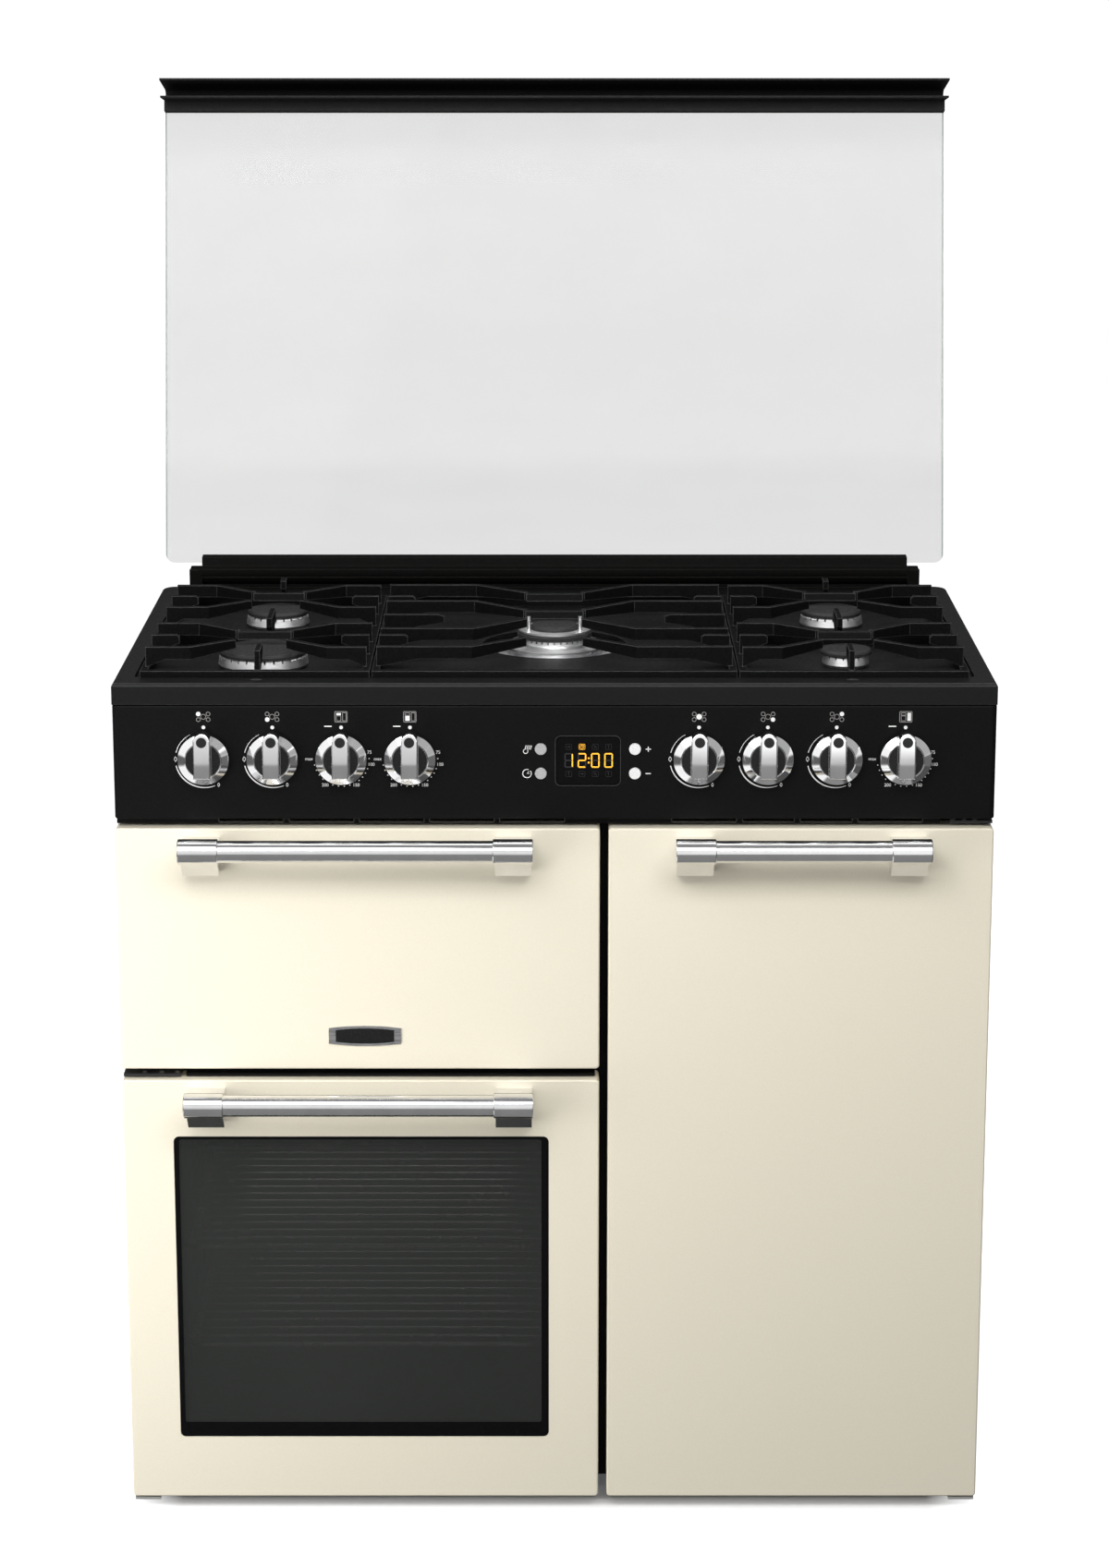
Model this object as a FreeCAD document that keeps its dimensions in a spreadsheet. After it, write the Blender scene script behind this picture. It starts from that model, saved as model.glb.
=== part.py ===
import FreeCAD
import Part
import Sketcher
import math
import os
from types import SimpleNamespace

# Range cooker, 900 mm class: gas hob with five burners, glass lid, grill, side-hung main oven and tall oven.
# +X right, -Y to the user, +Z up. The origin is on the floor, under the middle of the outline.

doc = FreeCAD.newDocument("range_cooker")
dims = doc.addObject("Spreadsheet::Sheet", "dims")

# Driving dimensions in mm. Distances "Back" run back from the front plane of the doors and the panel.
sizes = {
    # carcass
    "cookerWidth": 900, "frontY": -305, "skin": 2, "plinthHeight": 22, "frameBack": 45, "carcassBack": 535,
    "sideInset": 1, "frameLap": 26.5,
    "footRadius": 20, "footStud": 5, "footPad": 8, "footIn": 50, "footFrontBack": 85, "footRear": 40,
    "louvreCount": 12, "louvrePitch": 34, "louvreLength": 160, "louvreHeight": 8, "louvreLow": 250,
    "louvreShift": 5,
    # doors
    "doorDepth": 40, "skinDepth": 34, "doorSkin": 3, "doorCorner": 4, "doorEase": 2,
    "leftDoorInner": 46.5, "rightDoorInner": 55.5, "doorBottom": 16, "mainDoorTop": 483.2, "doorGap": 12.1,
    "linerInset": 9, "plugInset": 20, "plugRise": 3,
    "windowIn": 52, "windowInner": 52.5, "windowSill": 68.5, "windowHead": 61.7,
    "windowCorner": 6, "paneThick": 4, "paneSet": 1, "paneGap": 0.5, "paneLap": 8,
    "badgeWide": 75, "badgeTall": 21.5, "badgeOff": 5.25, "badgeUp": 25.7, "badgeThick": 1.5, "badgeBow": 2.5,
    # door hinges
    "pivotIn": 9, "pivotBack": 20, "pivotRadius": 4, "runFit": 0.05, "plateThick": 3, "plateFront": 8,
    "mainPlateGap": 1.5, "plateReach": 60, "tallPlateGap": 3.5, "tallPlateReach": 44, "footPlateGap": 7,
    "footPlateReach": 27, "bracketRise": 48, "pivotLength": 7,
    "lugThick": 8, "lugRadius": 5.5, "lugPin": 3, "lugPinReach": 9, "lugIn": 25, "lugGap": 1,
    "grillPivotBack": 12, "grillPivotUp": 7, "receiverThick": 8, "receiverRise": 8, "lugNotch": 9,
    # handles
    "handleReach": 45, "barRadius": 11.3, "bracketRadius": 13, "bracketLength": 41, "bracketDrop": 32,
    "bracketFoot": 20, "bracketEase": 1.2, "bracketInset": 1.8, "handleLength": 360,
    "tallHandleLength": 259.5, "handleBelowTop": 13,
    # front frame
    "ventFront": 12, "ventGap": 2.5, "ventSeat": 0.2, "ventIn": 55, "ventSlot": 66, "ventPitch": 72,
    "ventSlotHigh": 4.5, "ventSlotUp": 1.4, "ventSlotRound": 2, "ventStart": 106, "ventSlotsLeft": 5,
    "ventFirstRight": 120.5, "ventPairPitch": 191, "ventShort": 53, "ventShortFirst": 193,
    "ventShortPitch": 59.3, "ventPair": 2,
    "midRailThick": 2.8, "midRailFront": 10, "midRailIn": 66, "midRailInner": 4.5,
    # control panel
    "panelHeight": 118.5, "panelSeam": 1, "panelGap": 10, "panelWall": 2.5, "panelFace": 3, "panelEnd": 6,
    "panelEase": 1.5, "knobFirst": 147, "knobEnd": 93, "knobUp": 64.5, "spindleHole": 6,
    "clockX": 34, "clockWide": 65.4, "clockHeight": 51, "clockUp": 61.1, "clockCorner": 5,
    "clockSet": 2, "clockCase": 22, "clockLip": 6, "clockFit": 0.3,
    "buttonRadius": 6, "buttonHole": 6.3, "buttonX": 48, "buttonUpper": 73.5, "buttonLower": 48,
    "buttonProud": 1.6, "buttonFlange": 7.6, "buttonFlangeThick": 1.5, "buttonBehind": 0.3, "buttonEase": 0.6,
    # knobs and taps
    "knobRadius": 26, "knobEdge": 6, "knobBezel": 11, "knobDisc": 18, "knobDish": 1, "knobOff": 5,
    "knobEase": 1,
    "gripWidth": 17.4, "gripDown": 16.5, "gripUp": 30.5, "gripHeight": 24, "gripEase": 1.8,
    "gripCrown": 300,
    "spindleRadius": 4, "boreDepth": 15, "spindleInKnob": 13, "spindleBack": 56,
    "tapFront": 42, "tapBack": 84, "tapWidth": 24, "tapHeight": 30, "tapBoreSpare": 6,
    "railRadius": 9, "railDrop": 24, "railWall": 1.5, "railIn": 65, "railTabX": 80, "railTab": 20,
    "railTabDrop": 10,
    "statFront": 42, "statBack": 82, "statWidth": 44, "statHeight": 46, "statPost": 3, "statPostX": 15,
    "statPostUp": 20,
    # hob
    "hobTop": 905, "hobRim": 22, "hobCorner": 16, "hobEase": 4, "hobSheet": 2,
    "wellIn": 20, "wellFront": 30, "wellRear": 79, "wellDeep": 5.5, "wellCorner": 9, "wellWall": 2,
    "dishRadius": 77.5, "dishDeep": 17.5, "burnerIn": 146, "burnerFront": 119, "burnerRearIn": 106,
    "wokShift": 7.5,
    "throatRadius": 14,
    # burners
    "rapidRadius": 47, "semiRadius": 34.5, "auxRadius": 24.5, "auxCapRadius": 27, "crownHeight": 13,
    "crownFoot": 3,
    "crownWall": 9, "crownTaper": 2, "crownLean": 1.2, "slotWidth": 1.8, "slotDeep": 3.6, "rapidSlots": 30,
    "semiSlots": 24,
    "auxSlots": 18, "capThick": 5, "capEase": 2, "capOver": 1.5, "capDome": 1.2,
    "wokPlate": 60, "wokPlateThick": 2, "wokBody": 41, "wokFlange": 54, "wokFlangeLow": 8,
    "wokFlangeHigh": 12,
    "wokSkirt": 3, "wokTeeth": 34.5, "wokTeethHigh": 21, "wokTeethSlots": 32, "wokRingCap": 40,
    "wokRingHigh": 26.5,
    "wokUpper": 38.5, "wokUpperNeck": 27, "wokUpperHigh": 29, "wokPost": 2, "wokPostHigh": 39,
    "wokPostX": 27.5,
    "wokPostY": 14, "wokCap": 26, "wokCapThick": 5, "tabLength": 9, "tabWidth": 16, "tabCount": 4,
    "plugRadius": 3, "plugHeight": 11, "plugTip": 1.2, "plugTipHigh": 4, "plugOff": 6, "plugAngle": 55,
    # pan supports
    "gridRise": 27, "gridSink": 5, "gridBarTall": 11.5, "gridBar": 8, "fingerThick": 6, "fingerDeep": 13,
    "fingerTip": 9, "gridIn": 26, "sideGridInner": 189, "midGridHalf": 187,
    "gridFront": 35, "gridRear": 16, "crossShift": 2.5, "rowSpread": 63, "rowElbow": 71, "tipSpread": 28,
    "tipFront": 26, "tipRear": 24, "stubReach": 29, "yFingerClear": 38, "bridgeSink": 1.5, "bridgeFoot": 5,
    "midRowNear": 76, "midRowFar": 171, "midElbow": 86, "midTip": 31, "midTipNear": 25, "midTipFar": 125,
    "midStub": 65, "midShortStub": 30, "rootShare": 0.45, "stubShare": 0.6, "noseShare": 0.9, "noseDrop": 2,
    "postShare": 0.4,
    # lid
    "lidAxisIn": 7, "lidAxisUp": 20, "lidLean": 13, "lidOffset": 12, "lidIn": 2.5, "lidOver": 8,
    "lidFoot": 9, "lidThick": 5, "lidCorner": 10,
    "lidRailIn": 46, "railRoll": 16, "railFront": 9, "railHigh": 18, "railGroove": 1.2, "railGrooveAt": 8,
    "lidPin": 4, "lidPinLength": 10, "cheekIn": 32, "cheekGap": 0.5, "cheekRise": 2.5, "hingeBaseDeep": 21,
    "hingeBaseThick": 3, "cheekOver": 7,
    "trimGrip": 10, "trimBack": 8, "trimBody": 14.4, "trimAbove": 2, "trimFit": 0.2, "trimWall": 2.2,
    "trimLedge": 60, "trimFlange": 69, "trimDroop": 4.5, "trimCrest": 16, "trimBend": 14, "trimHollow": 11,
    # ovens
    "cavityWall": 1.5, "cavityFlange": 12, "cavityCorner": 16, "cavityIn": 45, "cavityInner": 45.5,
    "tallInner": 54.5, "tallIn": 54, "grillSill": 36.7, "grillHead": 35.5, "grillRear": 105,
    "ovenSill": 50, "mainHead": 39.2, "tallHead": 49.5, "ovenRear": 85,
    "sealWide": 8, "sealOut": 6, "sealGap": 0.3, "sealCorner": 20,
    "fanRadius": 62, "fanHub": 14, "fanBlade": 20, "fanDisc": 1.5, "fanBlades": 12, "bladeThick": 1.5,
    "fanGap": 18,
    "shaftRadius": 4, "shaftPast": 28, "shaftHole": 11, "motorRadius": 34, "motorDeep": 50,
    "baffleGap": 52, "baffleThick": 1.5, "baffleInset": 34, "baffleSlots": 14, "baffleSlotReach": 52,
    "ringRadius": 82, "ringTube": 3.2, "ringGap": 30, "leadLength": 40, "leadSpread": 14,
    "grillTube": 4, "grillLoops": 4, "grillLoopPitch": 80, "grillElementDrop": 28, "grillElementFront": 90,
    "shelfWire": 2, "shelfFrame": 3, "shelfWires": 13, "shelfFront": 62, "shelfGap": 12, "shelfSide": 13,
    "shelfBend": 15, "shelfUp": 98, "shelfHead": 56, "tallShelfUp": 134, "tallShelfHead": 164,
    "rackWire": 2.5, "rackIn": 17, "rackEnd": 22,
}

# Heights and places that follow from the sizes above.
derived = {
    # upward from the floor and downward from the hob
    "hobLow": "hobTop - hobRim", "carcassTop": "hobLow", "panelHigh": "hobLow - panelSeam",
    "panelLow": "panelHigh - panelHeight", "doorTop": "panelLow - panelGap",
    "frameTop": "panelLow + frameLap",
    "knobHeight": "panelLow + knobUp", "clockZ": "panelLow + clockUp",
    "buttonHigh": "panelLow + buttonUpper", "buttonLow": "panelLow + buttonLower",
    "grillDoorBottom": "mainDoorTop + doorGap", "mainPlateLow": "mainDoorTop + mainPlateGap",
    "midRailHigh": "mainPlateLow + midRailThick", "tallPlateLow": "doorTop + tallPlateGap",
    "footPlateLow": "doorBottom - footPlateGap", "ventLow": "doorTop + ventGap",
    "ventTop": "panelLow - ventSeat",
    "grillLow": "grillDoorBottom + grillSill", "grillHigh": "doorTop - grillHead",
    "mainLow": "doorBottom + ovenSill", "mainHigh": "mainDoorTop - mainHead",
    "tallLow": "doorBottom + ovenSill", "tallHigh": "doorTop - tallHead",
    "windowLow": "doorBottom + windowSill", "windowHigh": "mainDoorTop - windowHead",
    "badgeLow": "grillDoorBottom + badgeUp", "badgeHigh": "badgeLow + badgeTall",
    "shelfLow": "mainLow + shelfUp", "shelfPitch": "(mainHigh - shelfLow - shelfHead) / 2",
    "tallShelfLow": "tallLow + tallShelfUp",
    "tallShelfPitch": "(tallHigh - tallShelfLow - tallShelfHead) / 2",
    "gridTop": "hobTop + gridRise", "gridBarLow": "hobTop - gridSink",
    "gridBarHigh": "gridBarLow + gridBarTall",
    "dishFloor": "hobTop - dishDeep", "lidAxisZ": "hobTop + lidAxisUp", "cheekTop": "lidAxisZ + cheekRise",
    "hingeBaseTop": "hobTop + hingeBaseThick",
    # back from the front plane
    "hobBack": "carcassBack", "footRearBack": "carcassBack - footRear", "ovenBack": "carcassBack - ovenRear",
    "grillBack": "carcassBack - grillRear", "fanBack": "ovenBack - fanGap",
    "shaftEnd": "ovenBack + shaftPast",
    "motorBack": "ovenBack + motorDeep", "baffleBack": "ovenBack - baffleGap",
    "ringBack": "ovenBack - ringGap",
    "shelfBack": "baffleBack - shelfGap", "wellBack": "hobBack - wellRear", "gridBack": "wellBack - gridRear",
    "burnerRear": "gridBack - burnerRearIn", "gridCross": "(burnerFront + burnerRear) / 2 - crossShift",
    "wokBack": "(gridFront + gridBack) / 2 - wokShift", "lidAxisBack": "hobBack - lidAxisIn",
    "hingeBaseFront": "hobBack - hingeBaseDeep", "cheekBack": "hobBack + cheekOver",
    "lidLength": "lidAxisBack + lidOver - lidFoot",
    # outward from the middle
    "halfWidth": "cookerWidth / 2", "footX": "halfWidth - footIn", "louvreX": "halfWidth / 2 + louvreShift",
    "leftCavityLeft": "cavityIn - halfWidth", "leftCavityRight": "leftDoorInner - cavityInner",
    "tallLeft": "rightDoorInner + tallInner", "tallRight": "halfWidth - tallIn",
    "windowLeft": "windowIn - halfWidth", "windowRight": "leftDoorInner - windowInner",
    "badgeLeft": "(leftDoorInner - halfWidth - badgeWide) / 2 + badgeOff",
    "badgeRight": "badgeLeft + badgeWide",
    "midRailLeft": "midRailIn - halfWidth", "midRailRight": "leftDoorInner - midRailInner",
    "ventRight": "halfWidth - ventIn", "ventFirst": "ventStart - halfWidth",
    "knobPitch": "(halfWidth - knobEnd - knobFirst) / 3", "railEnd": "halfWidth - railIn",
    "wellHalf": "halfWidth - wellIn", "burnerX": "halfWidth - burnerIn",
    "sideGridOuter": "halfWidth - gridIn",
    "lidWidth": "cookerWidth - lidIn * 2", "railHalf": "halfWidth - lidRailIn",
    "cheekHalf": "halfWidth - cheekIn",
}


# A length that knows both its formula over the sheet and its value.
class Size:
    def __init__(self, text, value):
        self.text = text
        self.value = value

    def join(self, sign, other, value):
        return Size("(%s %s %s)" % (self.text, sign, size(other).text), value)

    def __add__(self, other):
        return self.join("+", other, self.value + size(other).value)

    def __radd__(self, other):
        return size(other) + self

    def __sub__(self, other):
        return self.join("-", other, self.value - size(other).value)

    def __rsub__(self, other):
        return size(other) - self

    def __mul__(self, other):
        return self.join("*", other, self.value * size(other).value)

    def __rmul__(self, other):
        return size(other) * self

    def __truediv__(self, other):
        return self.join("/", other, self.value / size(other).value)

    def __neg__(self):
        return size(0) - self


def size(item):
    return item if isinstance(item, Size) else Size(repr(item), float(item))


def squareRoot(item):
    return Size("sqrt(%s)" % item.text, math.sqrt(item.value))


cells = {alias: str(number) for alias, number in sizes.items()}
cells.update({alias: "=" + formula for alias, formula in derived.items()})
for row, (alias, text) in enumerate(cells.items(), 1):
    dims.set("A%d" % row, alias)
    dims.set("B%d" % row, text)
    dims.setAlias("B%d" % row, alias)
doc.recompute()
q = SimpleNamespace(**{name: Size("dims." + name, float(dims.get(name))) for name in cells})
nodes = []


def back(distance):
    return q.frontY + distance


def bind(item, prop, length):
    item.setExpression(prop, size(length).text)


def place(item, x=0, y=0, z=0, turn=None):
    if turn:
        item.Placement.Rotation = turn
    bind(item, "Placement.Base.x", x)
    bind(item, "Placement.Base.y", y)
    bind(item, "Placement.Base.z", z)
    return item


def node(label, item):
    item.Label = label
    nodes.append(item)
    return item


# Part primitives and booleans, each span or radius bound to the sheet.
def box(x, y, z):
    item = doc.addObject("Part::Box", "Block")
    for prop, span in (("Length", x), ("Width", y), ("Height", z)):
        bind(item, prop, size(span[1]) - span[0])
    return place(item, x[0], y[0], z[0])


alongX = FreeCAD.Rotation(FreeCAD.Vector(0, 1, 0), 90)
alongY = FreeCAD.Rotation(FreeCAD.Vector(1, 0, 0), -90)
towardUser = FreeCAD.Rotation(FreeCAD.Vector(1, 0, 0), 90)


def rod(radius, length, x, y, z, turn=None):
    item = doc.addObject("Part::Cylinder", "Rod")
    bind(item, "Radius", radius)
    bind(item, "Height", length)
    return place(item, x, y, z, turn)


def fuse(*parts):
    item = doc.addObject("Part::MultiFuse", "Fuse")
    item.Shapes = list(parts)
    return item


def cut(base, *tools):
    item = doc.addObject("Part::Cut", "Cut")
    item.Base = base
    item.Tool = tools[0] if len(tools) == 1 else fuse(*tools)
    return item


def group(*parts):
    item = doc.addObject("Part::Compound", "Group")
    item.Links = list(parts)
    return item


def mirrored(source, normal, base=(0, 0, 0)):
    item = doc.addObject("Part::Mirroring", "Mirror")
    item.Source = source
    item.Normal = normal
    item.Base = base
    return item


# PartDesign bodies. A corner is (u, v), or (u, v, radius) where an arc leads to it, turning left when
# positive.
def newBody(label):
    return doc.addObject("PartDesign::Body", label)


def newSketch(body, role, offset):
    sketch = body.newObject("Sketcher::SketchObject", "Sketch")
    plane = next(f for f in body.Origin.OriginFeatures if f.Role == role)
    sketch.AttachmentSupport = [(plane, "")]
    sketch.MapMode = "FlatFace"
    bind(sketch, "AttachmentOffset.Base.z", offset)
    return sketch


def hold(sketch, kind, length, *ends):
    index = sketch.addConstraint(Sketcher.Constraint(kind, *ends, size(length).value))
    sketch.setExpression("Constraints[%d]" % index, size(length).text)


def outline(body, role, corners, offset=0):
    sketch = newSketch(body, role, offset)
    points = [FreeCAD.Vector(size(c[0]).value, size(c[1]).value, 0) for c in corners]
    starts, ends = [], []
    for i, corner in enumerate(corners):
        nxt = (i + 1) % len(corners)
        bend = corners[nxt][2] if len(corners[nxt]) > 2 else None
        if bend is None:
            g = sketch.addGeometry(Part.LineSegment(points[i], points[nxt]))
            starts.append((g, 1))
            ends.append((g, 2))
            continue
        radius = size(bend).value
        chord = points[nxt] - points[i]
        half = chord.Length / 2
        side = FreeCAD.Vector(-chord.y, chord.x, 0).normalize() * math.copysign(1, radius)
        centre = points[i] + chord / 2 + side * math.sqrt(max(radius * radius - half * half, 0))
        first, last = (points[i], points[nxt]) if radius > 0 else (points[nxt], points[i])
        a = math.atan2(first.y - centre.y, first.x - centre.x)
        b = math.atan2(last.y - centre.y, last.x - centre.x)
        circle = Part.Circle(centre, FreeCAD.Vector(0, 0, 1), abs(radius))
        g = sketch.addGeometry(Part.ArcOfCircle(circle, a, b if b > a else b + 2 * math.pi))
        starts.append((g, 1 if radius > 0 else 2))
        ends.append((g, 2 if radius > 0 else 1))
        hold(sketch, "Radius", bend if radius > 0 else -size(bend), g)
    for i in range(len(corners)):
        nxt = (i + 1) % len(corners)
        sketch.addConstraint(Sketcher.Constraint("Coincident", *ends[i], *starts[nxt]))
    for i, corner in enumerate(corners):
        hold(sketch, "DistanceX", corner[0], -1, 1, *starts[i])
        hold(sketch, "DistanceY", corner[1], -1, 1, *starts[i])
    return sketch


def rings(body, role, holes, offset=0):
    sketch = newSketch(body, role, offset)
    for u, v, radius in holes:
        centre = FreeCAD.Vector(size(u).value, size(v).value, 0)
        g = sketch.addGeometry(Part.Circle(centre, FreeCAD.Vector(0, 0, 1), size(radius).value))
        hold(sketch, "Radius", radius, g)
        hold(sketch, "DistanceX", u, -1, 1, g, 3)
        hold(sketch, "DistanceY", v, -1, 1, g, 3)
    return sketch


def rectangle(x, z, corner=None):
    if corner is None:
        return [(x[0], z[0]), (x[1], z[0]), (x[1], z[1]), (x[0], z[1])]
    r = corner
    return [(x[0] + r, z[0], r), (x[1] - r, z[0]), (x[1], z[0] + r, r), (x[1], z[1] - r), (x[1] - r, z[1], r),
            (x[0] + r, z[1]), (x[0], z[1] - r, r), (x[0], z[0] + r)]


def feature(body, kind, sketch, length, flip):
    item = body.newObject("PartDesign::" + kind, kind)
    item.Profile = sketch
    bind(item, "Length", length)
    item.Reversed = flip
    doc.recompute()
    return item


def pad(body, sketch, length, flip=False):
    return feature(body, "Pad", sketch, length, flip)


def pocket(body, sketch, length, flip=False):
    before = body.Shape.Volume
    item = feature(body, "Pocket", sketch, length, flip)
    if body.Shape.Volume > before - 1e-3:
        raise RuntimeError("a pocket of %s cuts nothing" % body.Label)
    return item


def revolve(body, sketch):
    item = body.newObject("PartDesign::Revolution", "Turned")
    item.Profile = sketch
    item.ReferenceAxis = (sketch, ["V_Axis"])
    item.Angle = 360
    doc.recompute()
    return item


def around(body, item, count):
    axis = next(f for f in body.Origin.OriginFeatures if f.Role == "Z_Axis")
    pattern = body.newObject("PartDesign::PolarPattern", "Around")
    pattern.Originals = [item]
    pattern.Axis = (axis, [""])
    pattern.Angle = 360
    bind(pattern, "Occurrences", count)
    body.Tip = pattern
    doc.recompute()
    return pattern


def ease(body, item, radius, test):
    picked = ["Edge%d" % (i + 1) for i, e in enumerate(item.Shape.Edges) if test(e)]
    soft = body.newObject("PartDesign::Fillet", "Ease")
    soft.Base = (item, picked)
    bind(soft, "Radius", radius)
    doc.recompute()
    if "Invalid" in soft.State:
        raise RuntimeError("an edge of %s can't be eased" % body.Label)
    return soft


def runs(axis):
    def test(edge):
        ends = [v.Point for v in edge.Vertexes]
        if len(ends) < 2:
            return False
        step = ends[1] - ends[0]
        return abs(abs(getattr(step, axis)) - step.Length) < 1e-6
    return test


def lies(axis, length):
    level = size(length).value

    def test(edge):
        span = edge.BoundBox
        low = getattr(span, axis.upper() + "Min")
        high = getattr(span, axis.upper() + "Max")
        return abs(low - level) < 1e-4 and abs(high - level) < 1e-4
    return test


# Edges whose ends all lie on a crown, an arc about the X axis of such a radius with its top at a height.
def crowned(height, radius):
    level = (height - radius).value

    def test(edge):
        ends = [v.Point for v in edge.Vertexes]
        return all(abs(math.hypot(p.y, p.z - level) - radius.value) < 1e-4 for p in ends)
    return test


# A plate in the XZ plane between two distances back, with its four corners rounded.
def plate(label, x, z, y, corner=None):
    body = newBody(label)
    item = pad(body, outline(body, "XZ_Plane", rectangle(x, z, corner), -back(y[0])), size(y[1]) - y[0], True)
    return body, item


def window(body, x, z, y, corner=None):
    return pocket(body, outline(body, "XZ_Plane", rectangle(x, z, corner), -back(y[0])), size(y[1]) - y[0])


halfWidth = q.halfWidth
frameRear = q.frameBack + q.skin
sideOuter = halfWidth - q.sideInset
sideInner = sideOuter - q.skin

# Carcass: floor pan with upturned edges, two sides, louvred rear panel and feet on studs.
pan = box((-sideInner, sideInner), (back(frameRear), back(q.carcassBack)),
          (q.plinthHeight, q.plinthHeight + q.footPad * 2))
panHollow = box((-sideInner + q.skin, sideInner - q.skin),
                (back(frameRear + q.skin), back(q.carcassBack - q.skin)),
                (q.plinthHeight + q.skin, q.plinthHeight + q.footPad * 3))
node("base_chassis", cut(pan, panHollow))
side = box((sideInner, sideOuter), (back(frameRear), back(q.carcassBack)), (q.plinthHeight, q.carcassTop))
panFloor = q.plinthHeight + q.footPad * 2
rear = plate("RearPanel", (-sideInner, sideInner), (panFloor, q.carcassTop),
             (q.carcassBack - q.skin, q.carcassBack))[0]
for sign in (-1, 1):
    left = q.louvreX * sign - q.louvreLength / 2
    slot = window(rear, (left, left + q.louvreLength), (q.louvreLow, q.louvreLow + q.louvreHeight),
                  (q.carcassBack - q.skin * 2, q.carcassBack + q.skin))
    ladder = rear.newObject("PartDesign::LinearPattern", "Louvres")
    ladder.Originals = [slot]
    ladder.Direction = (next(f for f in rear.Origin.OriginFeatures if f.Role == "Z_Axis"), [""])
    bind(ladder, "Length", q.louvrePitch * (q.louvreCount - 1))
    bind(ladder, "Occurrences", q.louvreCount)
    rear.Tip = ladder
    doc.recompute()
node("cabinet_panels", group(side, mirrored(side, (1, 0, 0)), rear))

foot = newBody("Foot")
revolve(foot, outline(foot, "XZ_Plane", [
    (0, 0), (q.footRadius - q.skin, 0), (q.footRadius, q.skin), (q.footRadius, q.footPad - q.skin),
    (q.footRadius / 2, q.footPad), (q.footStud, q.footPad + q.skin), (q.footStud, q.plinthHeight),
    (0, q.plinthHeight)]))
place(foot, q.footX, back(q.footFrontBack))
rearFoot = doc.addObject("Part::Mirroring", "RearFoot")
rearFoot.Source = foot
rearFoot.Normal = (0, 1, 0)
bind(rearFoot, "Base.y", back((q.footFrontBack + q.footRearBack) / 2))
rightFeet = group(foot, rearFoot)
node("levelling_feet", group(rightFeet, mirrored(rightFeet, (1, 0, 0))))

# Front frame: a pressed plate round the three ovens, a rail between the left doors and a slotted vent strip
# above.
leftCavity = (q.leftCavityLeft, q.leftCavityRight)
grillSpan = (q.grillLow, q.grillHigh)
mainSpan = (q.mainLow, q.mainHigh)
tallCavity = (q.tallLeft, q.tallRight)
tallSpan = (q.tallLow, q.tallHigh)
frame = plate("FramePlate", (-sideOuter, sideOuter), (q.plinthHeight, q.frameTop),
              (q.frameBack, frameRear))[0]
for x, z in ((leftCavity, grillSpan), (leftCavity, mainSpan), (tallCavity, tallSpan)):
    window(frame, x, z, (q.frameBack - q.skin, frameRear + q.skin), q.cavityCorner)
rail = box((q.midRailLeft, q.midRailRight), (back(q.midRailFront), back(q.frameBack)),
           (q.mainPlateLow, q.midRailHigh))
shelfStrip = box((-sideOuter, q.ventRight), (back(q.ventFront), back(q.frameBack)),
                 (q.ventTop - q.skin, q.ventTop))
vent = newBody("VentStrip")
pad(vent, outline(vent, "XZ_Plane", rectangle((-sideOuter, q.ventRight), (q.ventLow, q.ventTop)),
                  -back(q.ventFront)),
    q.skin, True)
slotRows = ((q.ventFirst, q.ventSlot, q.ventPitch, q.ventSlotsLeft),
            (q.ventFirstRight, q.ventSlot, q.ventPairPitch, q.ventPair),
            (q.ventShortFirst, q.ventShort, q.ventShortPitch, q.ventPair))
for first, length, pitch, count in slotRows:
    low = q.ventLow + q.ventSlotUp
    span = rectangle((first, first + length), (low, low + q.ventSlotHigh), q.ventSlotRound)
    slot = pocket(vent, outline(vent, "XZ_Plane", span, -back(q.ventFront - q.skin)), q.skin * 3)
    strip = vent.newObject("PartDesign::LinearPattern", "Slots")
    strip.Originals = [slot]
    strip.Direction = (next(f for f in vent.Origin.OriginFeatures if f.Role == "X_Axis"), [""])
    bind(strip, "Length", pitch * (count - 1))
    bind(strip, "Occurrences", count)
    vent.Tip = strip
    doc.recompute()
node("front_frame", fuse(frame, rail, shelfStrip, vent))


# Oven liners: enamelled boxes with rounded corners and a flange behind the frame.
def cavity(label, x, z, depth, hole=None):
    t = q.cavityWall
    body, item = plate(label, (x[0] - t, x[1] + t), (z[0] - t, z[1] + t), (frameRear, depth + t),
                       q.cavityCorner + t)
    flange = outline(body, "XZ_Plane", rectangle((x[0] - q.cavityFlange, x[1] + q.cavityFlange),
                                                 (z[0] - q.cavityFlange, z[1] + q.cavityFlange)),
                                                 -back(frameRear))
    pad(body, flange, t, True)
    window(body, x, z, (frameRear - t, depth), q.cavityCorner)
    if hole:
        pocket(body, rings(body, "XZ_Plane", [(hole[0], hole[1], q.shaftHole)], -back(depth - t)), t * 3)
    node(label, body)


leftMiddle = (q.leftCavityLeft + q.leftCavityRight) / 2
tallMiddle = (q.tallLeft + q.tallRight) / 2
mainFan = (leftMiddle, (q.mainLow + q.mainHigh) / 2)
tallFan = (tallMiddle, (q.tallLow + q.tallHigh) / 2)
cavity("grill_cavity", leftCavity, grillSpan, q.grillBack)
cavity("main_oven_cavity", leftCavity, mainSpan, q.ovenBack, mainFan)
cavity("tall_oven_cavity", tallCavity, tallSpan, q.ovenBack, tallFan)


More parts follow.
